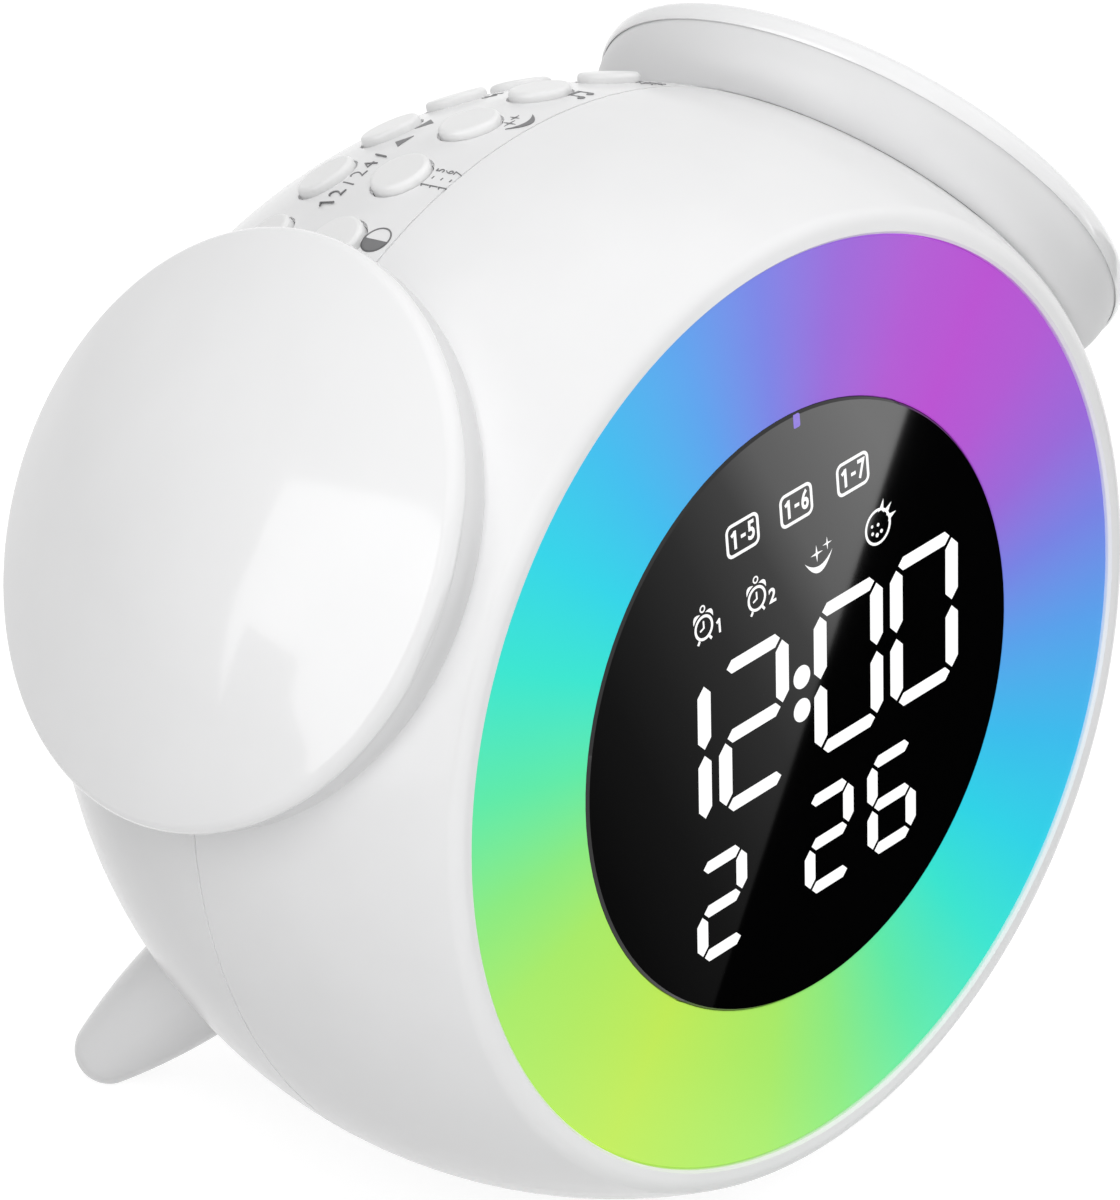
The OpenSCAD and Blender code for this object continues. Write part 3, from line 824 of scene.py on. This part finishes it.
class Finish(Enum):
    """Every finish on the clock."""

    CASE = Moulded("shell_gloss_white", (0.86, 0.86, 0.865), 0.2, specular=0.32)
    # The ear's bowl is the same white plastic as the case. Its colour is set darker than the case's white as
    # painted shade, for the shade that it sits in behind the ear.
    BOWL = Moulded("bowl_satin_white_painted_shade", (0.75, 0.75, 0.755), 0.34, specular=0.2)
    EAR = Moulded("ear_gloss_white", (0.87, 0.87, 0.875), 0.14, coat=0.5, relief=0.000004)
    KEY = Moulded("key_satin_white", (0.87, 0.87, 0.87), 0.3, grain=1600.0)
    LEG = Moulded("leg_gloss_white", (0.8, 0.8, 0.805), 0.24, coat=0.15)
    GLASS = Moulded("display_glass_black", (0.001, 0.001, 0.0011), 0.03, drift=0.1, relief=0.0)
    INNER = Moulded("inner_matt_white", (0.82, 0.82, 0.82), 0.5)
    BOARD = Moulded("circuit_green", (0.03, 0.2, 0.09), 0.35, drift=0.15)
    PART = Moulded("component_black", (0.03, 0.03, 0.032), 0.4, drift=0.1)
    LAMP = Moulded("lamp_chip_yellow", (0.85, 0.75, 0.35), 0.35)
    MAT = Moulded("silicone_grey", (0.55, 0.55, 0.56), 0.6)
    FOOT = Moulded("rubber_grey", (0.2, 0.2, 0.21), 0.65, drift=0.08, grain=1500.0, relief=0.00003)
    CELL = Moulded("cell_sleeve_blue", (0.08, 0.22, 0.5), 0.25, coat=0.2)
    CONE = Moulded("cone_paper_black", (0.025, 0.025, 0.025), 0.8, drift=0.2, grain=2500.0, relief=0.00004)
    PRINT = Moulded("print_grey", (0.17, 0.17, 0.175), 0.45, drift=0.05)
    STEEL = Turned("turned_steel")
    RING = Rainbow()
    DIGIT = Lit("lit_segment")
    TICK = Lit("tick_violet", linear(150, 130, 225), 0.9)

    @property
    def material(self) -> bpy.types.Material:
        """The finish's material, made once."""
        return bpy.data.materials.get(self.value.name) or self.value.make()


def dress(piece: Piece, finish: Finish) -> Piece:
    """Puts one finish all over a piece.

    Args:
        piece: what is finished.
        finish: goes into every slot.

    Returns:
        The same piece.
    """
    if piece.material_slots:
        for slot in piece.material_slots:
            slot.material = finish.material
    else:
        piece.data.materials.append(finish.material)
    return piece


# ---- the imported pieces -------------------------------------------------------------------


@dataclass
class Carried:
    """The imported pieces, and the finish of each; the keys share one."""

    finishes: tuple = (
        (Finish.CASE, "front_shell rear_shell bezel_ring left_ear_base right_ear_base"),
        (Finish.RING, "colour_ring"),
        (Finish.GLASS, "display_glass"),
        (Finish.DIGIT, "segment_bars"),
        (Finish.EAR, "left_ear_cap right_ear_cap"),
        (Finish.LEG, "left_leg right_leg"),
        (Finish.FOOT, "belly_foot"),
        (Finish.INNER, "light_tray battery_cradle"),
        (Finish.BOARD, "lamp_board display_board key_board main_board inlet_board"),
        (Finish.LAMP, "lamps"),
        (Finish.PART, "segment_box left_ear_switch right_ear_switch board_parts speaker_basket"),
        (Finish.CONE, "speaker_cone"),
        (Finish.MAT, "key_mat"),
        (Finish.CELL, "battery_cell"),
        (Finish.STEEL, "inlet_socket case_screws leg_screws board_screws"),
    )

    def dress(self) -> None:
        """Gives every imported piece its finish."""
        finish_of = {name: finish for finish, names in self.finishes for name in names.split()}
        for name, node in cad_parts.items():
            finish = Finish.KEY if name.endswith("_key") else finish_of[name]
            dress(node, finish)
            LOG.info("packed piece %s: %s", name, finish.value.name)


# ---- turned pieces -----------------------------------------------------------------------


@dataclass
class EarCap:
    """Pressing cap of an ear: a shallow dome with a rounded rim and a skirt that hides the joint."""

    rim_r: float = 31.0
    round_r: float = 1.5
    round_h: float = 59.35
    dome_r: float = 66.8
    wall: float = 1.5
    side: float = 0.35
    roll: float = 30.0
    skirt_in: float = 30.66
    skirt_top: float = 0.15
    inner_step: float = 0.2
    steps: int = 256

    def path(self) -> list[Point]:
        """The cap's outline, from the middle of the dome round the rim and back inside.

        Returns:
            The points of (radius, height).
        """
        corner = self.rim_r - self.round_r
        centre = self.round_h - math.sqrt((self.dome_r - self.round_r) ** 2 - corner**2)
        meet = math.degrees(math.atan2(self.round_h - centre, corner))
        inner = self.dome_r - self.wall
        inner_end = math.degrees(math.acos((corner - self.inner_step) / inner))
        rolled = arc((corner, self.round_h - self.side), self.round_r, 0, -self.roll, 5)
        return [
            *arc((0, centre), self.dome_r, 90, meet, 40)[:-1],
            *arc((corner, self.round_h), self.round_r, meet, 0, 12), *rolled,
            (self.skirt_in, rolled[-1][1]), (self.skirt_in, self.round_h + self.skirt_top),
            *arc((0, centre), inner, inner_end, 90, 24),
        ]

    def build(self, side: int, name: str) -> None:
        """Turns the cap of one ear, which rides on its own body.

        Args:
            side: 1 for the right ear and -1 for the left.
            name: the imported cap's name.
        """
        cap = lathe(name + "_turned", self.path(), STANCE.on_ear(side), self.steps, closed=False)
        dress(cap, Finish.EAR)
        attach(cap, name + "_body")
        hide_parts(name)
        LOG.info("ear cap %s: %d faces", cap.name, len(cap.data.polygons))


@dataclass
class EarBase:
    """Back of an ear: a bowl that curves in to the ball, with the hub that holds it."""

    shoulder_r: float = 30.58
    shoulder_h: float = 57.95
    top_h: float = 58.95
    bowl_r: float = 7.08
    wall: float = 1.4
    hub_r: float = 12.0
    hub_low: float = 51.0
    skin: float = 0.03
    edge: float = 0.1
    search: float = 0.25
    steps: int = 256

    @property
    def middle(self) -> Point:
        """Middle of the bowl's arc."""
        return self.shoulder_r - self.bowl_r, self.shoulder_h

    def meets(self, r: float, reach: float) -> float:
        """Angle at which the bowl's arc of radius r comes down to a distance from the ball's centre.

        Args:
            r: radius of the arc.
            reach: the distance.

        Returns:
            The angle, in degrees.
        """
        turn = 0.0
        while turn > -90 and math.hypot(*on_arc(self.middle, r, turn)) > reach:
            turn -= self.search
        return turn

    def path(self) -> list[Point]:
        """The outline: shoulder, bowl, floor along the ball, hub and back inside.

        Returns:
            The points of (radius, height).
        """
        floor, inner_floor = STANCE.ball_r + self.skin, STANCE.ball_r + self.wall
        inner = self.bowl_r - self.wall
        out_end, in_end = self.meets(self.bowl_r, floor), self.meets(inner, inner_floor)
        out_foot, in_foot = on_arc(self.middle, self.bowl_r, out_end), on_arc(self.middle, inner, in_end)
        hub_in = self.hub_r - self.wall

        def lies(r: float, reach: float) -> float:
            """Angle of the point with radius r on a ball of radius reach."""
            return math.degrees(math.acos(r / reach))

        return [
            (self.shoulder_r - self.edge, self.top_h), (self.shoulder_r, self.top_h - self.edge),
            *arc(self.middle, self.bowl_r, 0, out_end, 24)[:-1],
            *arc((0, 0), floor, lies(out_foot[0], floor), lies(self.hub_r, floor), 12),
            (self.hub_r, self.hub_low), (hub_in, self.hub_low),
            *arc((0, 0), inner_floor, lies(hub_in, inner_floor), lies(in_foot[0], inner_floor), 12)[:-1],
            *arc(self.middle, inner, in_end, 0, 16), (self.shoulder_r - self.wall, self.top_h),
        ]

    def build(self, side: int, name: str) -> None:
        """Turns the back of one ear.

        Args:
            side: 1 for the right ear and -1 for the left.
            name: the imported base's name.
        """
        # The bowl gets the darker white, which is painted shade and not a colour of its own.
        base = dress(lathe(name + "_turned", self.path(), STANCE.on_ear(side), self.steps), Finish.BOWL)
        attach(base, "case")
        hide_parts(name)
        LOG.info("ear base %s: %d faces", base.name, len(base.data.polygons))


@dataclass
class FaceRim:
    """Rounded rim round the face, which runs into the ball without a joint."""

    skin: float = 0.02
    start_z: float = 21.5
    hole_r: float = 50.2
    foot_z: float = 24.6
    foot_out: float = 0.8
    edge: float = 0.3
    wall: float = 0.6
    steps: int = 320

    def path(self) -> list[Point]:
        """The rim's outline: up the ball, round the edge, over the front and back inside.

        Returns:
            The points of (radius, height).
        """
        out, back = STANCE.ball_r + self.skin, STANCE.ball_r - self.wall
        corner_r, corner_z = STANCE.corner
        low = math.degrees(math.asin(self.start_z / out))
        meet = math.degrees(math.atan2(corner_z, corner_r))
        front = STANCE.face_z + self.skin
        return [
            *arc((0, 0), out, low, meet, 12)[:-1],
            *arc((corner_r, corner_z), STANCE.bezel_round + self.skin, meet, 90, 16),
            (self.hole_r + self.edge, front), (self.hole_r, front - self.edge), (self.hole_r, self.foot_z),
            (corner_r + self.foot_out, self.foot_z), *arc((0, 0), back, meet, low, 6),
        ]

    def build(self) -> None:
        """Turns the rim."""
        rim = dress(lathe("face_rim", self.path(), STANCE.face, self.steps), Finish.CASE)
        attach(rim, "case")
        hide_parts("bezel_ring")
        LOG.info("face rim: %d faces", len(rim.data.polygons))


@dataclass
class JointStrips:
    """Pale strips just under the surface: behind the joint of the shells and round each key."""

    under: float = 0.22
    half: float = 0.9
    wall: float = 0.4
    key_r: float = 3.3
    key_gap: float = 0.08
    collar_w: float = 0.45
    collar_top: float = 58.28
    collar_depth: float = 1.2
    seam_steps: int = 320
    collar_steps: int = 64

    def seam(self) -> Piece:
        """A band round the ball behind the joint of the two shells.

        Returns:
            The band.
        """
        out = STANCE.ball_r - self.under
        ends = [math.degrees(math.asin((STANCE.seam_z + d) / out)) for d in (-self.half, self.half)]
        path = [*arc((0, 0), out, ends[0], ends[1], 4), *arc((0, 0), out - self.wall, ends[1], ends[0], 4)]
        return lathe("seam_strip", path, STANCE.face, self.seam_steps)

    def collar(self) -> Piece:
        """A collar that stands in the gap round a key.

        Returns:
            The collar.
        """
        inner, top = self.key_r + self.key_gap, self.collar_top
        outer, low = inner + self.collar_w, top - self.collar_depth
        path = [(inner, low), (outer, low), (outer, top), (inner, top)]
        return lathe("key_collar", path, Matrix(), self.collar_steps)

    def build(self) -> None:
        """Makes the band and the collars as one piece."""
        pieces = [self.seam()]
        collar = self.collar()
        for row in STANCE.key_rows:
            for column in range(STANCE.key_columns):
                at = STANCE.on_ball(STANCE.key_first + STANCE.key_pitch * column, row, 0.0)
                pieces.append(settle(copy_of(collar), at))
        hold(collar)
        bpy.ops.object.delete()
        strips = dress(joined(pieces, "joint_strips"), Finish.CASE)
        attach(strips, "case")
        LOG.info("joint strips: %d faces", len(strips.data.polygons))


# ---- display -----------------------------------------------------------------------------


class Bar(Enum):
    """The seven bars of a digit, with the letters that such displays use for them."""

    TOP = "a"
    RIGHT_UP = "b"
    RIGHT_LOW = "c"
    BOTTOM = "d"
    LEFT_LOW = "e"
    LEFT_UP = "f"
    MIDDLE = "g"


LIT_BARS = {"0": "abcdef", "1": "bc", "2": "abged", "6": "afgedc"}


@dataclass
class Digit:
    """A slanted seven-bar digit: distances between the bars' middle lines, and their widths."""

    across: float = 9.0
    half: float = 7.75
    upright: float = 2.0
    level: float = 1.5
    gap: float = 0.35
    slant: float = 5.0

    def bar(self, sketch: Sketch, middle: Point, length: float, width: float, steep: bool) -> Piece:
        """A slanted bar with pointed ends.

        Args:
            sketch: draws the bar.
            middle: the bar's middle before the slant.
            length: from point to point.
            width: across the bar.
            steep: whether the bar stands upright.

        Returns:
            The bar as a thin solid.
        """
        end, side = length / 2, width / 2
        flat = end - side
        corners = [(-end, 0), (-flat, side), (flat, side), (end, 0), (flat, -side), (-flat, -side)]
        if steep:
            corners = [(-v, u) for u, v in corners]
        slope = math.tan(math.radians(self.slant))
        return sketch.polygon([(middle[0] + u + slope * (middle[1] + v), middle[1] + v) for u, v in corners])

    def draw(self, sketch: Sketch, sign: str) -> list[Piece]:
        """Draws the lit bars of one numeral round the origin.

        Args:
            sketch: draws the bars.
            sign: the numeral.

        Returns:
            The slanted bars.
        """
        x, y = self.across / 2, self.half
        middles = {
            Bar.TOP: (0.0, y), Bar.MIDDLE: (0.0, 0.0), Bar.BOTTOM: (0.0, -y),
            Bar.RIGHT_UP: (x, y / 2), Bar.RIGHT_LOW: (x, -y / 2),
            Bar.LEFT_UP: (-x, y / 2), Bar.LEFT_LOW: (-x, -y / 2),
        }
        made = []
        for letter in LIT_BARS[sign]:
            which = Bar(letter)
            middle = middles[which]
            steep = middle[0] != 0.0
            length = (self.half if steep else self.across) - self.gap * 2
            width = self.upright if steep else self.level
            made.append(self.bar(sketch, middle, length, width, steep))
        return made


@dataclass
class Display:
    """What the dark glass shows: time, date, and small signs over them."""

    glass_z: float = 26.2
    proud: float = 0.02
    sketch: Sketch = Sketch(depth=0.12)
    time_x: tuple = (-19.6, -7.4, 7.6, 19.8)
    time_y: float = 1.4
    time: Digit = field(default_factory=Digit)
    colon_r: float = 1.3
    colon_x: float = 0.15
    colon_half: float = 1.87
    colon_slope: float = 0.09
    date_x: tuple = (-14.3, 2.7, 12.8)
    date_y: float = -16.7
    date: Digit = field(default_factory=lambda: Digit(6.2, 5.0, 1.65, 1.35, 0.28))
    spans: tuple = (("1-5", -6.95, 22.9), ("1-6", 1.4, 22.75), ("1-7", 10.3, 22.55))
    span_style: Lettering = Lettering(2.1, 1.25, 0.38, 0.07, 0.8)
    alarms: tuple = (("1", -13.75, 15.3), ("2", -5.55, 15.05))
    alarm_style: Lettering = Lettering(1.6, 1.0, 0.28, 0.05)
    night_at: Point = (4.2, 15.6)
    comet_at: Point = (13.6, 15.0)
    tick_at: Point = (2.4, 32.0)

    def on_glass(self, pieces: Iterable[Piece], x: float, y: float) -> list[Piece]:
        """Moves signs drawn round the origin to a point of the glass."""
        return [settle(piece, STANCE.on_face(x, y, self.glass_z + self.proud)) for piece in pieces]

    def numerals(self, style: Digit, text: str, places: Sequence[float], y: float) -> list[Piece]:
        """Draws a row of numerals on the glass.

        Args:
            style: of the bars.
            text: the numerals.
            places: x of each.
            y: of the row.

        Returns:
            All lit bars.
        """
        made = []
        for sign, x in zip(text, places):
            made += self.on_glass(style.draw(self.sketch, sign), x, y)
        return made

    def colon(self) -> list[Piece]:
        """The two dots of the time, one over the other on the digits' slant.

        Returns:
            The dots.
        """
        made = []
        for dy in (self.colon_half, -self.colon_half):
            dot = self.sketch.disc(self.colon_r, around=40)
            made += self.on_glass([dot], self.colon_x + dy * self.colon_slope, self.time_y + dy)
        return made

    def span(self, text: str) -> list[Piece]:
        """The days of an alarm in a rounded box."""
        return [self.sketch.box(5.1, 3.8, 0.9, 0.36), *self.sketch.label(text, self.span_style, 0.1)]

    def alarm(self, number: str) -> list[Piece]:
        """A small bell clock and its number.

        Args:
            number: of the alarm.

        Returns:
            Its parts.
        """
        s = self.sketch
        made = [
            s.hoop(1.42, 0.3), s.stroke((0, -0.1), (0, 0.75), 0.22), s.stroke((0.1, 0), (-0.6, -0.25), 0.2),
            *s.label(number, self.alarm_style, 2.35, -0.75),
            s.stroke((-0.75, -1.25), (-1.05, -1.65), 0.3), s.stroke((0.75, -1.25), (1.05, -1.65), 0.3),
            s.hoop(0.42, 0.16, 2.15),
        ]
        for side in (-1, 1):
            at = moved(side * 0.95, 1.2) @ turned(180 - side * 38, "Z")
            made.append(settle(s.crescent(1.35, 0.42), at))
        return made

    def night(self) -> list[Piece]:
        """A moon on its back under two stars."""
        s = self.sketch
        return [s.crescent(4.3, 0.75), s.sparkle(-0.25, 0.45, 0.95), s.sparkle(1.45, 0.95, 0.72)]

    def comet(self) -> list[Piece]:
        """A round sign with rays at its upper right and dots inside.

        Returns:
            Its parts.
        """
        s = self.sketch
        dots = (0.2, -0.9, -0.5), (0.24, -0.2, -0.9), (0.22, 0.5, -0.7), (0.18, -0.9, 0.35), (0.2, 0.05, 0.2)
        made = [s.hoop(2.05, 0.3), *(s.disc(*dot, around=12) for dot in dots)]
        for turn in (12, 40, 68):
            ray = s.polygon([(1.55, -0.42), (3.0, 0.0), (1.55, 0.42), (1.9, 0.0)])
            made.append(settle(ray, turned(turn, "Z")))
        return made

    def signs(self) -> list[Piece]:
        """All small signs over the time.

        Returns:
            Their parts.
        """
        made = []
        for text, x, y in self.spans:
            made += self.on_glass(self.span(text), x, y)
        for number, x, y in self.alarms:
            made += self.on_glass(self.alarm(number), x, y)
        made += self.on_glass(self.night(), *self.night_at)
        return made + self.on_glass(self.comet(), *self.comet_at)

    def build(self) -> None:
        """Draws everything that is lit, one piece for each row."""
        rows = {
            "time_digits": self.numerals(self.time, "1200", self.time_x, self.time_y) + self.colon(),
            "date_digits": self.numerals(self.date, "226", self.date_x, self.date_y),
            "display_signs": self.signs(),
            "display_tick": self.on_glass([self.sketch.box(1.0, 1.5, 0.2, 0.49)], *self.tick_at),
        }
        for name, parts in rows.items():
            piece = dress(joined(parts, name), Finish.TICK if name == "display_tick" else Finish.DIGIT)
            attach(piece, "case")
            LOG.info("display piece %s: %d faces", piece.name, len(piece.data.polygons))


# ---- key signs ---------------------------------------------------------------------------


@dataclass
class KeySigns:
    """Grey signs printed on the ball in front of the keys."""

    proud: float = 0.03
    sketch: Sketch = Sketch(depth=0.16)
    front: float = 7.3
    back: float = 18.9
    line: float = 0.16
    bold: float = 0.3
    days_style: Lettering = Lettering(1.15, 1.3, 0.13, -0.02, 0.85)
    days_pitch: float = 1.27
    hours_style: Lettering = Lettering(2.3, 1.72, 0.15, -0.04, 0.76)

    def brightness(self) -> list[Piece]:
        """A circle, filled on its left half."""
        return [self.sketch.hoop(1.75, self.line), self.sketch.polygon(arc((0, 0), 1.7, 90, 270, 20))]

    def weekdays(self) -> list[Piece]:
        """Three rows for the days on which the alarm rings.

        Returns:
            Its parts.
        """
        made = []
        for row, days in enumerate(("1-5", "1-6", "1-7")):
            made += self.sketch.label(days, self.days_style, 0, self.days_pitch * (1 - row))
        return made

    def sleep(self) -> list[Piece]:
        """A moon on its back under two stars."""
        s = self.sketch
        return [s.crescent(4.2, 0.85, 0.2, -0.3), s.sparkle(-0.5, 0.35, 0.85), s.sparkle(0.95, 0.95, 0.65)]

    def music(self) -> list[Piece]:
        """Two joined notes.

        Returns:
            Its parts.
        """
        s = self.sketch
        return [
            s.disc(0.42, -0.9, -0.9), s.disc(0.42, 0.8, -0.6),
            s.stroke((-0.55, -0.9), (-0.55, 1.0), self.line), s.stroke((1.15, -0.6), (1.15, 1.3), self.line),
            s.polygon([(-0.63, 0.75), (1.23, 1.05), (1.23, 1.45), (-0.63, 1.15)]),
        ]

    def lamp(self) -> list[Piece]:
        """A sun: the light of the ring.

        Returns:
            Its parts.
        """
        rays = []
        for turn in range(0, 360, 45):
            rays.append(self.sketch.stroke(on_arc((0, 0), 1.05, turn), on_arc((0, 0), 1.6, turn), self.line))
        return [self.sketch.hoop(0.75, self.line), *rays]

    def triangle(self, up: bool) -> list[Piece]:
        """A filled triangle that points to the rear for up and to the front for down."""
        tip = 0.85 if up else -0.85
        return [self.sketch.polygon([(-1.25, -tip), (1.25, -tip), (0.0, tip)])]

    def hours(self) -> list[Piece]:
        """The change between 12 and 24 hours."""
        return self.sketch.label("12/24/", self.hours_style, -0.4)

    def loudness(self) -> list[Piece]:
        """A loudspeaker with two waves.

        Returns:
            Its parts.
        """
        s = self.sketch
        return [
            s.polygon([(-1.3, -0.35), (-0.8, -0.35), (-0.2, -0.9), (-0.2, 0.9), (-0.8, 0.35), (-1.3, 0.35)]),
            s.stroke((0.3, -0.4), (0.3, 0.4), self.line), s.stroke((0.85, -0.75), (0.85, 0.75), self.line),
        ]

    def alarm(self) -> list[Piece]:
        """A small bell clock.

        Returns:
            Its parts.
        """
        s = self.sketch
        return [
            s.hoop(1.15, self.line),
            s.stroke((0, 0), (0, 0.65), self.line), s.stroke((0, 0), (0.5, 0), self.line),
            s.stroke((-1.35, 0.75), (-0.7, 1.35), self.bold), s.stroke((1.35, 0.75), (0.7, 1.35), self.bold),
        ]

    def build(self) -> None:
        """Draws the signs and prints them on the ball as one piece."""
        front, back = self.front, self.back
        plan = [
            (self.brightness(), -22.6, front - 0.7), (self.weekdays(), -12.7, front - 1.25),
            (self.sleep(), -0.5, front - 0.3), (self.music(), 9.2, front - 0.4),
            (self.lamp(), 19.9, front - 0.5),
            (self.hours(), -13.4, back - 0.6), (self.triangle(True), -6.2, back - 0.5),
            (self.triangle(False), -1.5, back - 0.2), (self.loudness(), 8.6, back - 0.2),
            (self.alarm(), 19.0, back + 0.3),
        ]
        printed = []
        for pieces, turn, tilt in plan:
            at = STANCE.on_ball(turn, tilt, STANCE.ball_r + self.proud)
            printed += [settle(piece, at) for piece in pieces]
        whole = dress(joined(printed, "key_signs"), Finish.PRINT)
        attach(whole, "case")
        LOG.info("key signs: %d faces", len(whole.data.polygons))


# ---- studio ------------------------------------------------------------------------------


@dataclass(frozen=True)
class Softbox:
    """A soft lamp: its place and size in metres and its power in watts."""

    name: str
    at: tuple[float, float, float]
    size: Point
    power: float
    aim: float = 0.06

    def build(self) -> None:
        """Puts up the lamp: it looks at the clock and isn't mirrored in its gloss."""
        rest()
        bpy.ops.object.light_add(type="AREA", location=self.at)
        lamp = bpy.context.object
        lamp.name = self.name
        lamp.data.shape = "RECTANGLE"
        lamp.data.size, lamp.data.size_y = self.size
        lamp.data.energy = self.power
        lamp.visible_glossy = False
        lamp.rotation_euler = (Vector((0, 0, self.aim)) - lamp.location).to_track_quat("-Z", "Y").to_euler()


@dataclass
class Studio:
    """Camera, lamps, white surroundings and floor."""

    lens: float = 274.74
    sensor: float = 36.0
    eye: tuple = (-11.42096, -11.08754, 8.40524)
    right: tuple = (0.66922, -0.73887, -0.07877)
    up: tuple = (0.39062, 0.25965, 0.88317)
    unit: float = 50.0
    world_level: float = 0.32
    lamps: tuple = (
        Softbox("key_softbox", (-0.9, -0.9, 1.3), (0.9, 0.9), 10.0),
        Softbox("top_softbox", (0.2, 0.3, 1.6), (1.2, 1.2), 8.5),
        Softbox("rear_softbox", (-0.9, 0.9, 0.5), (0.8, 0.8), 1.5),
        Softbox("low_softbox", (-0.9, -1.2, 0.25), (0.8, 0.5), 6.1),
        Softbox("right_softbox", (1.3, -0.5, 0.8), (0.8, 0.8), 5.8),
    )
    floor_size: float = 6.0
    floor_drop: float = 0.0002
    floor_soft: float = 0.5
    floor_bare: float = 0.3
    floor_white: float = 0.86
    card_size: float = 0.25
    card_at: tuple = (0.14, -0.19, 0.0005)
    card_edge: tuple = (-0.54428, -0.8389, 0.0)
    card_offset: float = 0.06048
    card_fade: tuple = (58.74, 44.02, 0.0)
    card_span: Point = (-3.04, 1.64)
    card_levels: tuple = (
        (-3.04, 0.01), (-2.54, 0.02), (-1.84, 0.043), (-1.34, 0.08), (-0.64, 0.16), (0.06, 0.32), (0.5, 0.65),
        (1.64, 1.0),
    )
    card_strength: float = 2.7
    window_x: float = -1.2
    window_strength: float = 2.6
    window: tuple = (
        (0.92, 1.10), (0.78, 0.70), (0.73, 0.43), (0.62, 0.07), (0.62, 0.41), (0.32, 0.39), (0.30, 0.23),
        (0.19, 0.11), (0.19, 0.02), (-0.3, 0.02), (-0.3, 1.25), (0.16, 1.31),
    )

    def camera(self) -> None:
        """Sets the camera, given round the ball's centre with the face upright."""
        rest()
        bpy.ops.object.camera_add()
        camera = bpy.context.object
        tip = turned(-STANCE.lean, "X")
        eye = STANCE.centre + tip @ Vector(self.eye) * self.unit * MM
        right, up = tip @ Vector(self.right), tip @ Vector(self.up)
        back = right.cross(up).normalized()
        up = back.cross(right).normalized()
        turn = Matrix((right.normalized(), up, back)).transposed().to_4x4()
        camera.matrix_world = Matrix.Translation(eye) @ turn
        camera.data.lens = self.lens
        camera.data.sensor_fit = "HORIZONTAL"
        camera.data.sensor_width = self.sensor
        camera.data.clip_start = 0.01
        camera.data.clip_end = 100.0
        bpy.context.scene.camera = camera

    def surroundings(self) -> None:
        """A world that lights evenly and shows white to the eye, in gloss and through glass."""
        world = bpy.data.worlds.new("studio_white")
        bpy.context.scene.world = world
        world.use_nodes = True
        world.node_tree.nodes.clear()
        graph = Graph(world.node_tree)
        soft, white = (graph.node("Background", grey(level)) for level in (self.world_level, 1.0))
        graph.node("OutputWorld", graph.node("MixShader", self.seen(graph), soft, white))

    def seen(self, graph: Graph) -> Socket:
        """One where a ray comes from the eye, a gloss or a glass.

        Args:
            graph: where the nodes are added.

        Returns:
            The socket that says so.
        """
        path = graph.node("LightPath").outputs
        total = path["Is Camera Ray"]
        for name in ("Is Glossy Ray", "Is Transmission Ray"):
            total = graph.node("Math", total, path[name], operation="MAXIMUM").outputs[0]
        return total

    def blank(self, piece: Piece, name: str) -> Graph:
        """Names a piece of the studio and gives it a material without nodes.

        Args:
            piece: of the studio.
            name: of the piece and its material.

        Returns:
            The empty graph.
        """
        piece.name = name
        material = bpy.data.materials.new(name)
        material.use_nodes = True
        material.node_tree.nodes.clear()
        piece.data.materials.append(material)
        return Graph(material.node_tree)

    def floor(self) -> None:
        """A pale floor that keeps a light shadow and otherwise shows white."""
        rest()
        bpy.ops.mesh.primitive_plane_add(size=self.floor_size, location=(0, 0, -self.floor_drop))
        floor = applied()
        graph = self.blank(floor, "studio_floor")
        plain, bare = (graph.node("BsdfDiffuse", grey(level)) for level in (self.floor_soft, self.floor_bare))
        both = graph.node("AddShader", graph.node("Emission", Strength=self.floor_white), bare)
        graph.node("OutputMaterial", graph.node("MixShader", self.seen(graph), plain, both))

    def gloss_card(self) -> None:
        """A card just over the floor that only gloss sees, for the display to mirror.

        One side is black. The other is lit and fades to the left, so that the glass shows a
        straight edge and a grey sheen.
        """
        rest()
        bpy.ops.mesh.primitive_grid_add(
            x_subdivisions=3, y_subdivisions=3, size=self.card_size, location=self.card_at
        )
        card = applied()
        graph = self.blank(card, "studio_card")
        place = graph.node("TexCoord").outputs["Object"]
        low, high = self.card_span
        across = graph.dot(place, self.card_edge)
        edge = graph.node("Math", across, self.card_offset, operation="GREATER_THAN")
        fade = graph.node("MapRange", Value=graph.dot(place, self.card_fade), From_Min=low, From_Max=high)
        stops = [((where - low) / (high - low), (level, level, level)) for where, level in self.card_levels]
        lit = graph.node("Math", edge, graph.ramp(fade, stops), operation="MULTIPLY")
        graph.node("OutputMaterial", graph.node("Emission", lit, self.card_strength))
        self.only_gloss(card)

    def window_card(self) -> None:
        """A lit card far to the left that the glossy ear mirrors as a window."""
        upright = Matrix(((0, 0, 1, self.window_x), (1, 0, 0, 0), (0, 1, 0, 0), (0, 0, 0, 1)))
        card = settle(outline(self.window, 1.0), upright)
        graph = self.blank(card, "studio_window")
        graph.node("OutputMaterial", graph.node("Emission", Strength=self.window_strength))
        self.only_gloss(card)

    def only_gloss(self, card: Piece) -> None:
        """Hides a card from everything but gloss.

        Args:
            card: a card of the studio.
        """
        card.visible_camera = False
        card.visible_diffuse = False
        card.visible_transmission = False
        card.visible_shadow = False

    def build(self) -> None:
        """Sets up the whole studio."""
        bpy.context.scene.view_settings.view_transform = "Standard"
        self.camera()
        self.floor()
        self.gloss_card()
        self.window_card()
        self.surroundings()
        for lamp in self.lamps:
            lamp.build()
        LOG.info("studio ready")


# ---- everything --------------------------------------------------------------------------


def main() -> None:
    """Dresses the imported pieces, draws the display and the signs, and lights them."""
    logging.basicConfig(level=logging.INFO, format="%(name)s: %(message)s")
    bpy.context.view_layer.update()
    Studio().build()
    Carried().dress()
    for side, ear in ((-1, "left_ear"), (1, "right_ear")):
        EarCap().build(side, ear + "_cap")
        EarBase().build(side, ear + "_base")
    FaceRim().build()
    JointStrips().build()
    Display().build()
    KeySigns().build()
    rest()


if __name__ == "__main__":
    main()
